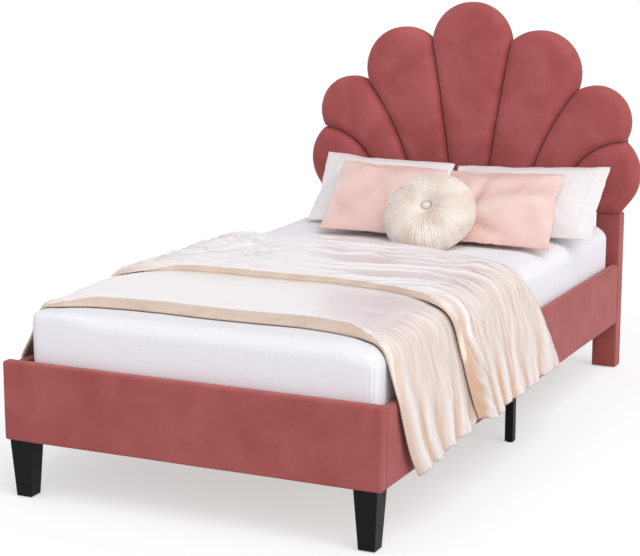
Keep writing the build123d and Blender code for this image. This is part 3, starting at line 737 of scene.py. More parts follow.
# Percale is matt, and its threads are drawn 3 mm coarse so that they show.
percale, tree, shader, place = start_material("white cotton percale", 0.8, {
    "Sheen Weight": 0.08, "Specular IOR Level": 0.3})
threads = add_node(tree, "TexNoise", {"Vector": place, "Scale": repeats(3), "Detail": 3.0})
tint = add_node(tree, "ValToRGB", {"Fac": threads.outputs["Fac"]}, [(0.3, "#EAE8EB"), (0.7, "#F1EFF2")])
creases = add_node(tree, "TexNoise", {"Vector": place, "Scale": repeats(90), "Detail": 2.0,
                                      "Roughness": 0.5, "Distortion": 0.8})
bump = add_node(tree, "Bump", {"Height": creases.outputs["Fac"], "Strength": 0.22, "Distance": 0.006})
set_sockets(tree, shader, {"Base Color": tint.outputs["Color"], "Normal": bump.outputs[0]})

low, high = (np.array(c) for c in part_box("fitted_sheet"))
skirt, sheet_top, sheet_front, sheet_half = low[2], high[2], low[1], high[0]


def full_corner(x, y):
    """How near a place is to the left foot corner, which stands up full and square."""
    near_foot = 1 - smooth_step(y, sheet_front + 0.06, sheet_front + 0.14)
    return near_foot * smooth_step(-np.asarray(x), 0.2, 0.4)


def square_share(flat, up):
    """How much further out a squared corner stands than a round one, in a direction of two parts."""
    return (flat ** 6 + up ** 6 + 1e-12) ** (-1 / 6) - np.hypot(flat, up)


sheet_round, sheet_step, sheet_thick = 0.043, 0.014, 0.0006
corner_kept_up = 0.7
low = np.array((low[0], low[1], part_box("mattress")[0].z))
points, away, faces = rounded_block(low, high, sheet_round, sheet_step)
flat_top = points[:, 2].copy()
points = crowned(points, low, high)
fuller = full_corner(points[:, 0], points[:, 1])
points[:, 2] += (flat_top - points[:, 2]) * corner_kept_up * fuller
squarer = square_share(np.hypot(away[:, 0], away[:, 1]), np.abs(away[:, 2]))
points += away * (sheet_round * squarer * fuller)[:, None]
points = foot_corners(points, low, sheet_round)
drape = wander(points[:, 0] / 0.22 + points[:, 1] / 0.31, points[:, 1] / 0.25 + points[:, 2] / 0.15, 8)
end_far = np.minimum(points[:, 1] - low[1], high[1] - points[:, 1])
corner_far = np.hypot(high[0] - np.abs(points[:, 0]), end_far)
run_round = points[:, 0] + points[:, 1]
tension = wander(run_round / 0.018, points[:, 2] / 0.25, 12)
gather = wander(run_round / 0.012, points[:, 2] / 0.08, 13)
low_share = 1 - smooth_step(points[:, 2], skirt, skirt + 0.07)
# Waves over all of it, tension lines by the corners, and the elastic's gathers low down
wave_high = 0.0012
lift = drape * wave_high + tension * wave_high * np.exp(-corner_far / 0.07) + gather * 0.0015 * low_share
points = points + away * (lift - wave_high)[:, None]
kept = [f for f in faces if points[list(f)][:, 2].mean() > skirt]
sheet = new_mesh("fitted_sheet_cloth", points, kept)
thicken(sheet, sheet_thick, -1)
finish_piece(sheet, percale, "mattress", ["fitted_sheet"])

# Spun cotton is dull, and a shade greyer than the sheet, so that its rows can be seen.
cotton = start_material("grey-white sewing cotton", 0.7, {"Base Color": linear("#B9BBC4")})[0]


def add_stitches(name, places, along, out, body, material, length=0.0042, thick=0.0009):
    """Lockstitches: short plump threads, each at a place, lying one way and proud another."""
    points, faces = [], []
    rings, sides = 5, 6
    for place, way, up in zip(places, along, out):
        way, up = way / np.linalg.norm(way), up / np.linalg.norm(up)
        across = np.cross(way, up)
        base = len(points)
        for r in range(rings):
            share = r / (rings - 1)
            plump = max(0.15, math.sin(math.pi * share))
            for c in range(sides):
                a = 2 * math.pi * c / sides
                points.append(place + way * (share - 0.5) * length
                              + (across * math.cos(a) + up * math.sin(a)) * thick * plump)
        faces += [tuple(base + n for n in face) for face in ribbon_faces(rings, sides, True)]
        faces += [tuple(base + c for c in range(sides)),
                  tuple(base + (rings - 1) * sides + c for c in reversed(range(sides)))]
    stitches = new_mesh(name, points, faces)
    finish_piece(stitches, material, body)
    return stitches


dart_inset, dart_gap, stitch_pitch = 0.007, 0.009, 0.0065
dart_top = high[2] - 0.036
sheet_tree = BVHTree.FromPolygons([Vector(p) for p in points], kept)
places, ways, outs = [], [], []
for sx in (-1, 1):
    for end in (-1, 1):
        for row in (0, 1):
            x = sx * (high[0] - dart_inset - row * dart_gap)
            if (sx, end) == (-1, -1):
                x += corner_shift
            for z in np.arange(skirt + 0.004, dart_top - row * 0.004, stitch_pitch):
                spot, out, _, _ = sheet_tree.ray_cast(Vector((x, end * 2.0, z)), Vector((0, -end, 0)))
                if spot is not None:
                    places.append(np.array(spot + out * 0.0002))
                    ways.append(np.array((0.0, 0.0, 1.0)))
                    outs.append(np.array((out.x, out.y, 0.0)))
add_stitches("sheet_corner_stitches", places, ways, outs, "mattress", cotton)


# Coverlet
# Champagne satin over thin wadding, laid across the mattress and both side rails with its head end
# folded back. Pressed facings edge both layers, and the sides fall in fine flutes to a gathered hem.

# Satin weave is glossy, and light is painted into its colour: a painted highlight, near white, on its
# crests and where it lies flat, and warm painted shade in its folds.
# Its threads are drawn 2 mm coarse so that they show.
satin, tree, shader, place = start_material("champagne satin", 0.28, {
    "Sheen Weight": 0.35, "Sheen Roughness": 0.3, "Sheen Tint": linear("#F8F8FF"),
    "Specular IOR Level": 1.0, "Coat Weight": 1.0, "Coat Roughness": 0.30})
cloud = add_node(tree, "TexNoise", {"Vector": place, "Scale": repeats(90), "Detail": 3.0})
tone = add_node(tree, "Attribute", attribute_name="painted_fold_light")
clouded = add_node(tree, "Math", {0: cloud.outputs["Fac"], 1: 0.16, 2: tone.outputs["Fac"]},
                   operation="MULTIPLY_ADD")
tint = add_node(tree, "ValToRGB", {"Fac": clouded.outputs[0]},
                [(0.04, "#D39C6E"), (0.22, "#CBA98E"), (0.44, "#D9C2B4"), (0.70, "#E8DAD2"),
                 (0.98, "#F2EAEC")])
warp = add_node(tree, "TexNoise", {"Vector": place, "Scale": repeats(2), "Detail": 2.0})
weave = add_node(tree, "Bump", {"Height": warp.outputs["Fac"], "Strength": 0.08, "Distance": 0.0005})
drawn = add_node(tree, "Mapping", {"Vector": place, "Scale": (repeats(110), repeats(22), repeats(90))})
ripple = add_node(tree, "TexNoise", {"Vector": drawn.outputs[0], "Scale": 1.0, "Detail": 2.0,
                                     "Distortion": 0.6})
creased = add_node(tree, "Attribute", attribute_name="creased")
rippled = add_node(tree, "Math", {0: creased.outputs["Fac"], 1: 0.6}, operation="MULTIPLY")
bump = add_node(tree, "Bump", {"Height": ripple.outputs["Fac"], "Strength": rippled.outputs[0],
                               "Distance": 0.007, "Normal": weave.outputs[0]})
set_sockets(tree, shader, {"Base Color": tint.outputs["Color"], "Normal": bump.outputs[0]})

# The facings are the same satin, pressed flat, so they are duller and one even tan.
facing = patterned("champagne satin facing", 0.4, ("TexNoise", {"Scale": repeats(60), "Detail": 3.0}),
                   [(0.35, "#D0B7A3"), (0.65, "#DBC5B4")], sockets={"Specular IOR Level": 0.35})

foot_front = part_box("footboard_cover")[0].y
rail_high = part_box("side_rail_cover_right")[1]
hem_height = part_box("coverlet")[0].z
# The satin lies flat as far as flat_half, slopes down a little, and bends round a circle to hang.
flat_half, edge_round, edge_centre = 0.42, 0.045, (0.45, 0.4411)
slope_angle = 80.17
rail_gap, hem_flare = 0.004, 0.016
line_step, ease_reach, ease_width = 0.001, 15, 6


def eased(values, reach, width, beyond="edge", **ends):
    """A row of values with its bends eased, and carried on beyond its ends so that those stay."""
    weights = np.exp(-0.5 * (np.arange(-reach, reach + 1) / width) ** 2)
    return np.convolve(np.pad(values, reach, beyond, **ends), weights / weights.sum(), "valid")


def even_line(corners, blur):
    """A line through corners, with points at even distances and its bends eased."""
    corners = np.array(corners, float)
    run = np.concatenate([[0], np.cumsum(np.linalg.norm(np.diff(corners, axis=0), axis=1))])
    places = np.arange(0, run[-1], line_step)
    return np.stack([eased(np.interp(places, run, way), 3 * blur, blur, "reflect", reflect_type="odd")
                     for way in corners.T], axis=1)


# From the bed's middle out to the hem, along the sheet, the shoulder, the gap and the rail.
rail_edge = rail_high.x + rail_gap
away_x, away_z = rail_edge - edge_centre[0], rail_high.z - edge_centre[1]
leave = math.atan2(away_z, away_x) + math.acos(edge_round / math.hypot(away_x, away_z))
section = [(0, sheet_top), (flat_half, sheet_top)]
for angle in np.linspace(math.radians(slope_angle), leave, 8):
    section.append((edge_centre[0] + edge_round * math.cos(angle),
                    edge_centre[1] + edge_round * math.sin(angle)))
section += [(rail_edge, rail_high.z), (rail_edge + hem_flare, hem_height)]
hem_run = float(np.sum(np.hypot(*np.diff(np.array(section), axis=0).T)))
corner_drop = 0.030
section.append((section[-1][0] + corner_drop * 0.1, hem_height - corner_drop))
tail = section[-3:]


def section_parts(corners, blur):
    """A section's points, how far along it each lies, and its outward directions."""
    line = even_line(corners, blur)
    slope = np.gradient(line, axis=0)
    out = np.stack([-slope[:, 1], slope[:, 0]], axis=1)
    return line, np.arange(len(line)) * line_step, out / np.linalg.norm(out, axis=1)[:, None]


section, section_run, section_out = section_parts(section, 8)
# Over the mattress's square left foot corner it follows that corner, then runs straight to the rail.
corner_section = [(0, sheet_top), (0.34, sheet_top)]
corner_fall = (1 - corner_kept_up) * crown_drop
for x in np.linspace(0.36, sheet_half - sheet_round, 5):
    fall = corner_fall * float(smooth_step(x, sheet_half - shoulder, sheet_half))
    corner_section.append((x, sheet_top - fall))
for angle in np.radians(np.linspace(80, 35, 7)):
    reach = sheet_round * (1 + square_share(math.cos(angle), math.sin(angle)))
    corner_section.append((sheet_half - sheet_round + reach * math.cos(angle),
                           sheet_top - corner_fall - sheet_round + reach * math.sin(angle)))
corner_section, corner_run, corner_out = section_parts(corner_section + tail, 5)
corner_stretch = corner_run[-1] / section_run[-1]


def curve_across(left, right):
    """How far from the footboard's front an edge lies, by the run across, with its bends eased."""
    places = [-s for s, y in reversed(left)] + [s for s, y in right[1:]]
    values = [y for s, y in reversed(left)] + [y for s, y in right[1:]]
    runs = np.arange(-hem_run - 0.05, hem_run + 0.05, 0.002)
    curve = eased(np.interp(runs, places, values), ease_reach, ease_width)
    return lambda s: foot_front + np.interp(s, runs, curve)


# Each edge as pairs of a run across and a distance from the footboard's front, to the left and right.
front_edge = curve_across(
    [(0, .133), (.15, .137), (.24, .137), (.345, .126), (.40, .110), (.45, .098), (.50, .10),
     (.565, .106), (.62, .100), (.70, .115), (.82, .15)],
    [(0, .133), (.142, .137), (.207, .143), (.276, .139), (.35, .122), (.409, .107), (.449, .102),
     (.478, .095), (.495, .094), (.525, .092), (.592, .089), (.621, .086), (.66, .098), (.721, .122),
     (.780, .160), (.84, .222)])
fold_edge = curve_across(
    [(0, .580), (.18, .583), (.30, .577), (.342, .568), (.401, .535), (.44, .50), (.50, .475),
     (.60, .475), (.70, .50), (.82, .56)],
    [(0, .580), (.065, .584), (.136, .588), (.217, .571), (.295, .555), (.345, .537), (.414, .504),
     (.458, .486), (.482, .484), (.504, .492), (.537, .498), (.568, .491), (.618, .487), (.659, .502),
     (.703, .522), (.743, .538), (.82, .575)])
rear_edge = curve_across(
    [(0, 1.168), (.105, 1.172), (.239, 1.158), (.34, 1.17), (.412, 1.19), (.48, 1.17), (.54, 1.13),
     (.62, 1.12), (.72, 1.16), (.82, 1.20)],
    [(0, 1.160), (.10, 1.148), (.196, 1.115), (.32, 1.060), (.38, 1.028), (.44, 1.002), (.484, 1.008),
     (.513, 1.038), (.555, 1.070), (.585, 1.088), (.618, 1.103), (.689, 1.155), (.748, 1.190),
     (.82, 1.228)])

lower_high, upper_high, satin_thick = 0.016, 0.030, 0.0028
shoulder_run, hanging_run = 0.47, 0.62
across_step, along_step = 0.0070, 0.0042
across = np.linspace(-hem_run, hem_run, 2 * round(hem_run / across_step) + 1)


def ridges(u, v, seed):
    """Noise with sharp crests, from 0 to 1, as creases make."""
    return (1 - np.abs(wander(u, v, seed))) ** 2


def satin_folds(s, q, y, seed, crumple):
    """How far the satin stands out at a run across and a run along, from its flutes and creases."""
    reach = np.abs(s)
    hang = smooth_step(reach, shoulder_run, hanging_run)
    low = smooth_step(reach, 0.52, hem_run)
    # Flutes fall plumb from the mattress's shoulder, and wander a little on their way.
    plumb = np.where(reach > 0.5, (y - q) - np.interp(0.5 * np.sign(s), s, y - q), 0.0)
    drift = q + plumb * smooth_step(q, 0.05, 0.20)
    drift = drift + 0.018 * wander(q / 0.11, s / 0.13, seed) + 0.03 * wander(q / 0.35, s / 0.4, seed + 1)
    # The hem swings in and out every 135 mm.
    swing = 0.5 + 0.5 * np.cos(2 * np.pi * (drift / 0.135 + 0.35 * wander(q / 0.3, 0, seed + 2)))
    flutes = 0.010 * low * swing
    # The hang has wide and slim flutes with sharp crests, and soft ones between them.
    patch = 0.6 + 0.4 * wander(q / 0.08, s / 0.10, seed + 5)
    near = smooth_step(reach, 0.28 if crumple else 0.42, 0.52)
    wide_flute = ridges(drift / 0.034, s / 0.30, seed + 3)
    slim_flute = ridges(drift / 0.0165 + s * 2, s / 0.14, seed + 4)
    soft_flute = 0.5 + 0.5 * wander(drift / 0.018, s / 0.095, seed + 15)
    soft_pleat = 0.5 + 0.5 * wander(drift / 0.0098 + s * 2.5, s / 0.050, seed + 16)
    flutes += near * (0.0030 * wide_flute + 0.0020 * slim_flute) * patch
    by_fold = smooth_step(reach, 0.34, 0.46) * np.exp(-(q / 0.10) ** 2) * float(crumple)
    flutes += near * (0.0090 * soft_flute * (1 - 0.7 * by_fold) + 0.0058 * soft_pleat) * patch
    # The hem is gathered, and the top lies in long low waves.
    gather = ridges(q / 0.012, s / 0.06, seed + 13) * smooth_step(reach, hem_run - 0.05, hem_run - 0.008)
    flutes += 0.0028 * gather
    broad = 0.0016 * wander(s / 0.24, y / 0.19, seed + 6) + 0.0009 * wander(s / 0.12, y / 0.05, seed + 7)
    flutes += broad * (1 - hang)
    if crumple:
        # Where the upper layer's edge turns down at the shoulder, its pleats lie aslant.
        beside = smooth_step(reach, 0.42, 0.56) * np.exp(-(q / 0.095) ** 2)
        slant_way = q - 0.70 * (reach - 0.45) + 0.012 * wander(q / 0.05, s / 0.07, seed + 17)
        slant = 0.5 + 0.5 * wander(slant_way / 0.0135, s / 0.12, seed + 14)
        slim_slant = 0.5 + 0.5 * wander(slant_way / 0.0088, s / 0.06, seed + 19)
        flutes += 0.0110 * beside * slant + 0.0055 * by_fold * slim_slant
        # The upper layer is crumpled on the left, pleated at its left end, and streaked elsewhere.
        bent_s = s + 0.03 * wander(s / 0.09, y / 0.09, seed + 8)
        bent_y = y + 0.03 * wander(s / 0.08, y / 0.10, seed + 9)
        left = smooth_step(-s, 0.0, 0.28)
        left_end = smooth_step(-s, 0.30, 0.42) * (1 - smooth_step(q, 0.05, 0.16))
        crumples = (0.0080 * ridges(bent_s / 0.060, bent_y / 0.032, seed + 10)
                    + 0.0042 * ridges(bent_s / 0.024, bent_y / 0.016, seed + 11))
        flutes += left * (1 - 0.6 * left_end) * crumples
        flutes += 0.0050 * left_end * ridges(s / 0.020, y / 0.09, seed + 18)
        streak = ridges(bent_s / 0.30, bent_y / 0.040, seed + 12)
        flutes += (1 - hang) * (1 - left) * 0.0075 * streak
    return flutes


# The hem's run from the bed's middle, by its distance from the footboard's front.
hem_places = [.15, .25, .35, .51, .57, .62, .68, .73, .85, .97, 1.04, 1.18]
hem_runs = [.817, .802, .788, .787, .777, .791, .788, .776, .779, .778, .772, .782]


def satin_point(s, y, high):
    """A point over the bed at a run across, a place along and a height above the sheet or rail."""
    end = np.interp(y - foot_front, hem_places, hem_runs) + 0.0035 * wander(y / 0.0125, np.sign(s), 51)
    reach = np.abs(s)
    stretch = smooth_step(reach, hem_run - 0.2, hem_run)
    reach = np.minimum(reach + (end - hem_run) * stretch, section_run[-1])
    fuller = full_corner(s, y)
    spot = [np.interp(reach, section_run, section[:, k]) * (1 - fuller)
            + np.interp(reach * corner_stretch, corner_run, corner_section[:, k]) * fuller for k in (0, 1)]
    out = [np.interp(reach, section_run, section_out[:, k]) * (1 - fuller)
           + np.interp(reach * corner_stretch, corner_run, corner_out[:, k]) * fuller for k in (0, 1)]
    x, z = np.sign(s) * (spot[0] + out[0] * high), spot[1] + out[1] * high
    over_sheet = np.clip((z - rail_high.z) / (sheet_top - rail_high.z), 0, 1)
    return np.stack([x + corner_stands_in(x, y, sheet_front) * over_sheet, y, z], axis=-1)


def edge_rise(d, start, top, lip, depth):
    """The height of a layer at a distance from its edge: a round lip, a flat facing, then the top."""
    half_rise = (top - start) / 2
    round_lip = np.sqrt(np.clip(1 - (1 - np.clip(d / lip, 0, 1)) ** 2, 0, 1))
    return start + half_rise * (round_lip + np.clip((d - lip / 2) / (depth - lip / 2), 0, 1))


# The lower layer runs from its front edge to the head end, turns over, and comes back as the upper one.
rows, relief = [], []
edge_steps = np.array([0.0, 0.0006, 0.0018, 0.0035, 0.0055, 0.008])
away_from_middle = np.abs(across)
top_share = 1 - smooth_step(away_from_middle, 0.36, 0.50)
facing_depth, fold_depth = 0.016 + 0.040 * top_share, 0.012 + 0.008 * top_share
wave = wander(across / 0.16, 1.0, 41) * 0.004 + wander(across / 0.035, 2.0, 42) * 0.0012
lower_start = front_edge(across) + wave
wave = wander(across / 0.13, 3.0, 43) * 0.004 + wander(across / 0.04, 4, 44) * 0.0012
upper_start = fold_edge(across) + wave
both_end = rear_edge(across) + wander(across / 0.15, 5.0, 45) * 0.004
lower_long = np.mean(both_end - lower_start)
upper_long = np.mean(both_end - upper_start)
fold_share = (upper_start - lower_start) / (both_end - lower_start)

tuck = 0.012
hanging = smooth_step(away_from_middle, shoulder_run, hanging_run)
lower_top, upper_top = lower_high * (1 - 0.40 * hanging), upper_high * (1 - 0.27 * hanging)
upper_base = lower_top + 0.002 + 0.002 * hanging
beside_fold = smooth_step(away_from_middle, 0.36, 0.48)
rows.append(satin_point(across, lower_start + tuck, np.full_like(across, 0.0022)))
relief.append(np.zeros_like(across))


def shares_along(long):
    """Places from a layer's edge to its far end, close together at the edge."""
    inner = np.linspace(0.012 / long, 1, round(long / along_step))
    return np.concatenate([edge_steps / long, inner])


lower_shares, upper_shares = shares_along(lower_long), shares_along(upper_long)[::-1]
for share in lower_shares:
    y = lower_start + share * (both_end - lower_start)
    d = share * lower_long
    q = np.full_like(across, d)
    past_fold = (share - fold_share) * lower_long
    under = (smooth_step(past_fold, 0.0, 0.03) * beside_fold
             + smooth_step(past_fold, 0.03, 0.12) * (1 - beside_fold))
    easing = 1 - smooth_step(past_fold, -0.09, -0.015)
    dip = beside_fold * np.exp(-(np.minimum(past_fold, 0) / 0.020) ** 2)
    high = edge_rise(d, 0.003, lower_top, 0.007, facing_depth) * (1 - 0.45 * dip)
    high = high * (1 - under) + 0.006 * under
    folds = satin_folds(across, q, y, 10, False) * (0.25 + 0.75 * easing) * (1 - 0.6 * under)
    folds = folds * float(smooth_step(d, -0.004, 0.05))
    rows.append(satin_point(across, y, high + folds))
    relief.append(folds)
lower_rows = len(rows)
left_drop = 0.015 * smooth_step(-across, 0.1, 0.3)
turn_low, turn_high = 0.006, upper_top - 0.003 - left_drop
for angle in np.linspace(-80, 80, 9):
    a = math.radians(angle)
    radius = (turn_high - turn_low) / 2
    rows.append(satin_point(across, both_end + radius * math.cos(a) * 1.2,
                            (turn_low + turn_high) / 2 + radius * math.sin(a)))
    relief.append(np.zeros_like(across))
turn_rows = len(rows)
for share in upper_shares:
    y = upper_start + share * (both_end - upper_start)
    d = share * upper_long
    q = np.full_like(across, d)
    end_drop = 0.008 * smooth_step(-across, 0.30, 0.42)
    high = edge_rise(d, upper_base, upper_top - end_drop, 0.008, fold_depth)
    high = high - (left_drop - np.minimum(end_drop, left_drop)) * float(smooth_step(d, 0.03, 0.30))
    folds = satin_folds(across, q, y, 30, True) * float(smooth_step(d, -0.006, 0.05))
    folds = folds * float(0.35 + 0.65 * smooth_step(upper_long - d, 0.0, 0.05))
    high = high - 0.003 * float(smooth_step(upper_long - d, 0.03, 0.0))
    rows.append(satin_point(across, y, high + folds))
    relief.append(folds)
rows.append(satin_point(across, upper_start + 0.004, upper_base - 0.0008))
rows.append(satin_point(across, upper_start + tuck + 0.022 * hanging, upper_base - 0.001))
relief += [np.zeros_like(across)] * 2

points = np.array(rows)
columns = len(across)
coverlet = new_mesh("coverlet_cloth", points.reshape(-1, 3), ribbon_faces(len(rows), columns, False))
coverlet.data.materials.append(satin)
coverlet.data.materials.append(facing)
thicken(coverlet, satin_thick, 0)
shade_smooth(coverlet)
lower_run = np.concatenate([[0.0], lower_shares * lower_long])
upper_run = np.concatenate([upper_shares * upper_long, [0.0, 0.0]])
left_lining = 0.05 * smooth_step(-across, 0.47, 0.52)
fold_share_across = smooth_step(across, -0.42, -0.33) * (1 - smooth_step(across, 0.40, 0.52))
is_facing = np.vstack([
    lower_run[:, None] < (facing_depth * top_share + left_lining)[None, :],
    np.zeros((turn_rows - lower_rows, columns), bool),
    upper_run[:, None] < (fold_depth * fold_share_across)[None, :],
])
coverlet.data.polygons.foreach_set("material_index", is_facing[:-1, :-1].astype(int).ravel())

# Painted light on the satin: painted highlights, pale, on its crests and where it lies flat, and warm
# painted shade in its folds.
relief = np.array(relief)
depth_in_fold = np.zeros_like(relief)
for first, last in ((0, lower_rows), (turn_rows, len(rows))):
    for c in range(columns):
        line = relief[first:last, c]
        depth_in_fold[first:last, c] = line - eased(line, ease_reach, ease_width)
tone_hanging, tone_lying, contrast_hanging, contrast_lying = 0.39, 0.82, 0.30, 0.13
deep_fold = 0.0034
lying = 1 - smooth_step(away_from_middle, 0.39, 0.53)
tone = tone_hanging + (tone_lying - tone_hanging) * lying
contrast = contrast_hanging + (contrast_lying - contrast_hanging) * lying
painted_fold_light = tone[None, :] + depth_in_fold / deep_fold * contrast[None, :]
# Along the upper layer's edge the painted shade is warmest: halfway down the hang, where it stands for
# light bounced warm inside the fold, and in the pleats at the left.
upper_reach = upper_run[:, None]
halfway = smooth_step(away_from_middle, 0.53, 0.62) * (1 - smooth_step(away_from_middle, 0.72, 0.80))
painted_fold_light[turn_rows:] -= 0.34 * halfway[None, :] * np.exp(-((upper_reach - 0.034) / 0.026) ** 2)
pleated = smooth_step(-across, 0.34, 0.44)
painted_fold_light[turn_rows:] -= 0.30 * pleated[None, :] * np.exp(-(upper_reach / 0.08) ** 2)
# The lower layer is pressed, so it has few fine creases where it lies.
creased = np.ones_like(relief)
creased[:lower_rows] = (1 - 0.9 * lying)[None, :]
# The painted highlight is capped, lower on the hang than where the satin lies flat.
palest = 0.68 + 0.32 * lying[None, :]


def store_values(piece, name, values):
    """Stores a number at each point of a piece, for its material to read."""
    layer = piece.data.attributes.new(name, "FLOAT", "POINT")
    layer.data.foreach_set("value", np.asarray(values, np.float32).ravel())


store_values(coverlet, "painted_fold_light", np.clip(painted_fold_light, 0, palest))
store_values(coverlet, "creased", creased)
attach(coverlet, "coverlet")
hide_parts("coverlet")


# White pillows
# Two cotton sateen cases over feather filling, sewn round their edges, with a hemmed mouth at one end.
# They lean on the headboard: the filling swells them, and the cloth creases towards its seams and corners.

# Sateen has a soft lustre, and its threads are drawn 2.5 mm coarse so that they show.
sateen = patterned("white cotton sateen", 0.55, ("TexNoise", {"Scale": repeats(2.5), "Detail": 3.0}),
                   [(0.3, "#E7E2E2"), (0.7, "#EFEBEA")], (0.15, 0.0006),
                   {"Sheen Weight": 0.15, "Sheen Roughness": 0.4, "Specular IOR Level": 0.35})


def sewn_case(name, wide, high, thick, seed, slack=0.05, frames=20, straight=0.8):
    """A stuffed case lying flat: two panels sewn round their edges and filled, then brought to size."""
    step = 0.0105
    cells_wide, cells_high = round(wide / step), round(high / step)
    index, points, faces = {}, [], []

    def corner(i, j, side):
        # Both panels share the points of the seam.
        at_seam = i in (0, cells_wide) or j in (0, cells_high)
        return i, j, 0 if at_seam else side

    for side in (1, -1):
        for i in range(cells_wide + 1):
            for j in range(cells_high + 1):
                key = corner(i, j, side)
                if key in index:
                    continue
                index[key] = len(points)
                u, v = 2 * i / cells_wide - 1, 2 * j / cells_high - 1
                rise = 0.25 * thick * (1 - u * u) * (1 - v * v)
                rise += 0.0012 * float(wander(i / 3.1 + side * 9, j / 2.7, seed))
                points.append((u * wide / 2, v * high / 2, key[2] * max(rise, 0.0008)))
        for i in range(cells_wide):
            for j in range(cells_high):
                ring = [index[corner(i + di, j + dj, side)] for di, dj in cell_corners]
                faces.append(ring if side > 0 else ring[::-1])
    case = new_mesh(name, points, faces)
    cloth = case.modifiers.new("filling", "CLOTH")
    cloth.settings.quality = 6
    cloth.settings.mass = 0.25
    cloth.settings.tension_stiffness = 25
    cloth.settings.compression_stiffness = 25
    cloth.settings.shear_stiffness = 8
    cloth.settings.bending_stiffness = 0.6
    cloth.settings.use_pressure = True
    cloth.settings.uniform_pressure_force = 4
    cloth.settings.shrink_min = -slack
    cloth.settings.effector_weights.gravity = 0
    cloth.point_cache.frame_start, cloth.point_cache.frame_end = 1, frames
    for frame_number in range(1, frames + 1):
        bpy.context.scene.frame_set(frame_number)
    settled(case)
    bpy.context.scene.frame_set(1)
    laid = np.array(points)
    filled = points_of(case)
    filled *= np.array((wide / 2, high / 2, thick / 2)) / np.abs(filled).max(axis=0)
    filled[:, :2] += (laid[:, :2] - filled[:, :2]) * straight
    set_points(case, filled)
    finer = case.modifiers.new("finer", "SUBSURF")
    finer.levels = finer.render_levels = 1
    settled(case)
    points = points_of(case)
    reach = np.abs(points).max(axis=0)
    points *= np.array((wide / 2, high / 2, thick / 2)) / reach
    set_points(case, points)
    return case


def normals_of(piece):
    """The directions that a mesh's points face."""
    return np.array([v.normal for v in piece.data.vertices], float).reshape(-1, 3)


def seam_pucker(case, wide, high, pitch, depth, reach, seed):
    """Gathers the cloth into short creases that run from the seam."""
    points, away = points_of(case), normals_of(case)
    edge = np.minimum(wide / 2 - np.abs(points[:, 0]), high / 2 - np.abs(points[:, 1]))
    nearer_side = wide / 2 - np.abs(points[:, 0]) < high / 2 - np.abs(points[:, 1])
    along = np.where(nearer_side, points[:, 1], points[:, 0])
    crease = wander(along / pitch + np.sign(points[:, 2]) * 7, edge / 0.05, seed)
    crease += 0.6 * wander(along / pitch / 2, edge / 0.09, seed + 1)
    fade = np.exp(-np.maximum(edge, 0) / reach) * smooth_step(edge, -0.02, 0.006)
    set_points(case, points + away * (crease * depth * fade)[:, None])


def pull_corners(case, wide, high, pulls):
    """Pulls a flat pillow's four corners in its plane: lower left, lower right, upper left, upper right."""
    points = points_of(case)
    u = np.clip(points[:, 0] / wide + 0.5, 0, 1)[:, None]
    v = np.clip(points[:, 1] / high + 0.5, 0, 1)[:, None]
    low_left, low_right, high_left, high_right = (np.array(p) for p in pulls)
    low_pull = low_left * (1 - u) + low_right * u
    high_pull = high_left * (1 - u) + high_right * u
    points[:, :2] += low_pull * (1 - v) + high_pull * v
    set_points(case, points)


def lean_pillow(case, node, lean, turn):
    """Turns a flat pillow in its plane, leans it back, and puts its middle where the CAD has it."""
    low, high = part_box(node)
    place = (Matrix.Translation((low + high) / 2) @ Matrix.Rotation(math.radians(lean), 4, "X")
             @ Matrix.Rotation(math.radians(turn), 4, "Z"))
    case.data.transform(place)
    return place


pillow_lean, pillow_turn = 24, 6
white_wide, white_high, white_thick = 0.468, 0.440, 0.112
hem_depth, hem_row_gap, hem_stitch_pitch = 0.042, 0.005, 0.0062
# Spun thread is duller than the sateen and a shade darker, so that the hem can be seen.
sewing_white = start_material("white sewing thread", 0.6, {"Base Color": linear("#D9D3D6")})[0]
# How far each case's corners are pulled, in the order that pull_corners takes them.
white_pulls = {
    "left": ((0.027, 0.019), (-0.004, -0.012), (-0.031, 0.008), (-0.031, -0.068)),
    "right": ((-0.012, -0.004), (0.010, -0.022), (-0.043, -0.027), (-0.003, -0.031)),
}
for side, seed in (("left", 61), ("right", 67)):
    node = "white_pillow_" + side
    case = sewn_case(node + "_case", white_wide, white_high, white_thick, seed)
    seam_pucker(case, white_wide, white_high, pitch=0.021, depth=0.0014, reach=0.020, seed=seed + 1)
    pull_corners(case, white_wide, white_high, white_pulls[side])
    mouth = -1 if side == "left" else 1
    places, outs = [], []
    case_tree = BVHTree.FromPolygons([v.co for v in case.data.vertices],
                                     [p.vertices for p in case.data.polygons])
    for row in (0, 1):
        x = mouth * (white_wide / 2 - hem_depth - row * hem_row_gap)
        for y in np.arange(-white_high / 2 + 0.012, white_high / 2 - 0.012, hem_stitch_pitch):
            spot, away, _, _ = case_tree.ray_cast(Vector((x, y, 0.3)), Vector((0, 0, -1)))
            if spot is not None:
                places.append(np.array(spot))
                outs.append(np.array(away))
    leant = lean_pillow(case, node, pillow_lean, pillow_turn)
    finish_piece(case, sateen, node, [node])
    ways = [np.array((0.0, 1.0, 0.0))] * len(places)
    stitches = add_stitches(node + "_hem_stitches", places, ways, outs, node, sewing_white,
                            length=0.004, thick=0.0007)
    stitches.data.transform(leant)
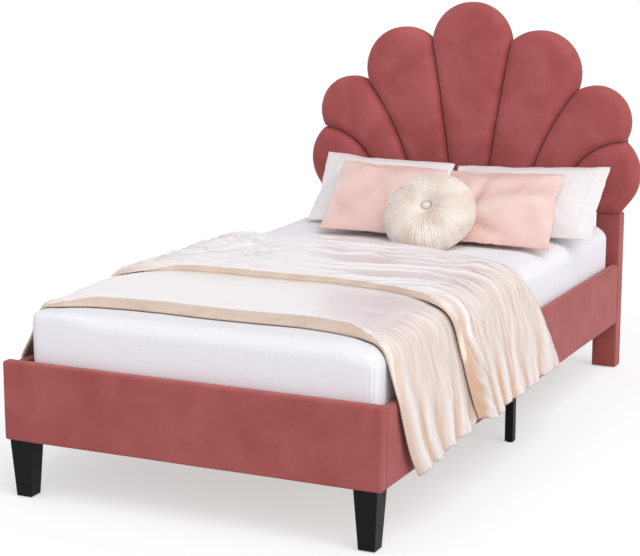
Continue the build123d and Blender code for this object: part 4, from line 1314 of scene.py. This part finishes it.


# Blush pillows
# Two satin cases of the same make, a little smaller, leaning on the white ones. The satin is thin,
# so it dimples where hands have pressed it and gathers along its lower seam.

# This satin has a soft gloss and a cloudy tone. Painted shade makes it pinker and darker in its dents and
# along its lower seam.
blush, tree, shader, place = start_material("blush satin", 0.42, {
    "Sheen Weight": 0.3, "Sheen Roughness": 0.35, "Sheen Tint": linear("#FFE9E2")})
cloud = add_node(tree, "TexNoise", {"Vector": place, "Scale": repeats(80), "Detail": 2.0})
painted_shade = add_node(tree, "Attribute", attribute_name="painted_shade")
clouded = add_node(tree, "Math", {0: cloud.outputs["Fac"], 1: 0.22, 2: painted_shade.outputs["Fac"]},
                   operation="MULTIPLY_ADD")
tint = add_node(tree, "ValToRGB", {"Fac": clouded.outputs[0]},
                [(0.06, "#F3DED8"), (0.18, "#EAC9C0"), (0.60, "#DDA798")])
bump = add_node(tree, "Bump", {"Height": cloud.outputs["Fac"], "Strength": 0.2, "Distance": 0.004})
set_sockets(tree, shader, {"Base Color": tint.outputs["Color"], "Normal": bump.outputs[0]})
blush_wide, blush_high, blush_thick = 0.374, 0.400, 0.092


def press_dents(case, dents):
    """Presses soft dents into a pillow's front, and paints shade in them and along the lower seam: middle,
    radii, tilt and depth.
    """
    points = points_of(case)
    front = smooth_step(points[:, 2], 0.0, 0.02)
    # Painted shade: darker along the lower seam, and in each dent by its depth.
    painted_shade = 0.06 + 0.25 * np.exp(-(points[:, 1] - points[:, 1].min()) / 0.02)
    for x, y, long, short, tilt, depth in dents:
        a = math.radians(tilt)
        across = (points[:, 0] - x) * math.cos(a) + (points[:, 1] - y) * math.sin(a)
        along = (points[:, 1] - y) * math.cos(a) - (points[:, 0] - x) * math.sin(a)
        dent = front * np.exp(-(across / short) ** 2 - (along / long) ** 2)
        points[:, 2] -= depth * dent
        painted_shade += dent * depth * 9
    set_points(case, points)
    store_values(case, "painted_shade", painted_shade)


blush_dents = {
    "left": [(-0.05, 0.03, 0.12, 0.05, -25, 0.014), (0.03, -0.08, 0.10, 0.03, 20, 0.017),
             (-0.13, -0.10, 0.08, 0.03, 50, 0.012)],
    "right": [(-0.080, -0.05, 0.10, 0.020, -14, 0.028), (-0.03, -0.13, 0.07, 0.022, 70, 0.016),
              (0.06, 0.07, 0.12, 0.04, -60, 0.012), (0.11, -0.08, 0.09, 0.03, 20, 0.011)],
}
blush_pulls = {
    "left": ((0.035, 0.040), (0.0, -0.002), (-0.005, 0.054), (-0.003, -0.006)),
    "right": ((0.006, 0.030), (0.024, -0.016), (-0.004, 0.026), (-0.004, 0.014)),
}
for side, seed in (("left", 71), ("right", 77)):
    node = "blush_pillow_" + side
    case = sewn_case(node + "_case", blush_wide, blush_high, blush_thick, seed)
    press_dents(case, blush_dents[side])
    seam_pucker(case, blush_wide, blush_high, pitch=0.016, depth=0.0018, reach=0.016, seed=seed + 1)
    pull_corners(case, blush_wide, blush_high, blush_pulls[side])
    lean_pillow(case, node, pillow_lean, pillow_turn)
    finish_piece(case, blush, node, [node])


# Round cushion
# Cream velvet gathered in from its rim to a covered button on each side, over a full round filling.
# The gathers run on round the edge, where a narrow gathered frill hides the seam.

# Cut pile, drawn 3 mm coarse so that it shows: matt, with a pale sheen where a gather turns away.
cream, tree, shader, place = start_material("cream gathered velvet", 0.75, {
    "IOR": 1.45, "Specular IOR Level": 0.25, "Sheen Weight": 0.5, "Sheen Roughness": 0.4,
    "Sheen Tint": linear("#FDFBFF")})
pile = add_node(tree, "TexNoise", {"Vector": place, "Scale": repeats(3), "Detail": 2.0})
brushed = add_node(tree, "TexNoise", {"Vector": place, "Scale": repeats(60), "Detail": 2.0})
nap = add_node(tree, "Math", {0: pile.outputs["Fac"], 1: brushed.outputs["Fac"]}, operation="MULTIPLY")
tint = add_node(tree, "ValToRGB", {"Fac": nap.outputs[0]},
                [(0.14, "#DAC7B8"), (0.25, "#E6D9CD"), (0.38, "#EFE7DF")])
bump = add_node(tree, "Bump", {"Height": pile.outputs["Fac"], "Strength": 0.2, "Distance": 0.0006})
set_sockets(tree, shader, {"Base Color": tint.outputs["Color"], "Normal": bump.outputs[0]})
cushion_radius, cushion_half, cushion_lean, fullness = 0.141, 0.059, 42, 2.5
button_radius, button_half = 0.0135, 0.0045
tuft_depth, tuft_reach = 0.026, 0.044
gather_count, gather_steps, gather_depth = 84, 7, 0.0036


def cushion_profile():
    """Radius, height and gather depth from the front's middle over the rim to the back's middle."""
    front = []
    for share in np.concatenate([np.linspace(0.03, 0.5, 14), np.linspace(0.54, 0.99, 14)]):
        a = share * math.pi / 2
        radius = cushion_radius * math.sin(a) ** (2 / fullness)
        height = cushion_half * math.cos(a) ** (2 / fullness)
        height -= tuft_depth * math.exp(-(radius / tuft_reach) ** 2 * 1.6)
        depth = gather_depth * min(1.0, radius / 0.045) * (0.75 + 0.25 * math.sin(share * math.pi))
        front.append((radius, height, depth))
    return front + [(radius, -height, depth) for radius, height, depth in reversed(front)]


segments = gather_count * gather_steps
turns = np.linspace(0, 2 * math.pi, segments, endpoint=False)


def round_turn(cells, row, seed):
    """Noise from -1 to 1 round a full turn, with no jump where it closes."""
    share = turns / (2 * math.pi)
    there, back = wander(share * cells, row, seed), wander((share - 1) * cells, row, seed)
    return there * (1 - share) + back * share


rows = []
for radius, height, depth in cushion_profile():
    row = (radius if height > 0 else 0.35 - radius) / 0.05
    bend = 0.05 * round_turn(18, row / 2, 81) * min(1, radius / 0.06)
    gathers = np.abs(np.sin((turns + bend) * gather_count / 2)) ** 0.65
    long_gathers = np.abs(np.sin((turns - bend * 1.4) * gather_count / 6 + 0.7)) ** 0.8
    size = 0.72 + 0.5 * round_turn(31, row / 1.6, 83)
    lift = depth * size * ((gathers - 0.6) + 0.7 * (long_gathers - 0.6))
    flat = float(smooth_step(radius, 0.100, 0.137))
    rows.append(np.stack([(radius + lift * flat) * np.cos(turns), (radius + lift * flat) * np.sin(turns),
                          height + lift * (1 - flat) * (1 if height > 0 else -1)], axis=1))
faces = ribbon_faces(len(rows), segments, True)
faces.append(tuple(range(segments)))
faces.append(tuple((len(rows) - 1) * segments + n for n in reversed(range(segments))))
cushion = new_mesh("round_cushion_cover", np.vstack(rows), faces)
low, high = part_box("round_cushion")
cushion_place = Matrix.Translation((low + high) / 2) @ Matrix.Rotation(math.radians(cushion_lean), 4, "X")
cushion.data.transform(cushion_place)
finish_piece(cushion, cream, "round_cushion", ["round_cushion"])

rows = []
frill_height, frill_wide, frill_thick, frill_waves = -0.020, 0.0035, 0.0012, 96
frill_foot = 0.1385
for reach in (-0.004, 0.0, 0.002, frill_wide):
    share = max(0.0, reach / frill_wide)
    sway = np.sin(turns * frill_waves + 2.5 * round_turn(40, 1.0, 91)) * 0.0022 * share
    radius = frill_foot + reach + 0.0006 * round_turn(150, 2.0, 92) * share
    rows.append(np.stack([radius * np.cos(turns), radius * np.sin(turns), frill_height + sway], axis=1))
frill = new_mesh("round_cushion_frill", np.vstack(rows), ribbon_faces(len(rows), segments, True))
thicken(frill, frill_thick, 0)
frill.data.transform(cushion_place)
finish_piece(frill, cream, "round_cushion")

rows = []
for share in np.linspace(0.02, 1, 14):
    a = share * math.pi * 0.62
    rows.append((button_radius * math.sin(a), button_half * (2.1 * math.cos(a))))
sunk = cushion_half - tuft_depth
points, faces = [], []
sides = 36
spins = np.linspace(0, 2 * math.pi, sides, endpoint=False)
for face_side in (1, -1):
    base = len(points)
    for radius, height in rows:
        crease = 1 + 0.03 * np.cos(spins * 9) * (radius / button_radius) ** 2
        for spin, ease in zip(spins, crease):
            points.append((radius * ease * math.cos(spin), radius * ease * math.sin(spin),
                           face_side * (sunk + 0.002 + height)))
    block = ribbon_faces(len(rows), sides, True) + [tuple(range(sides))[::-1]]
    faces += [tuple(base + n for n in (face if face_side < 0 else face[::-1])) for face in block]
buttons = new_mesh("round_cushion_buttons", points, faces)
buttons.data.transform(cushion_place)
finish_piece(buttons, cream, "round_cushion", ["cushion_buttons"])
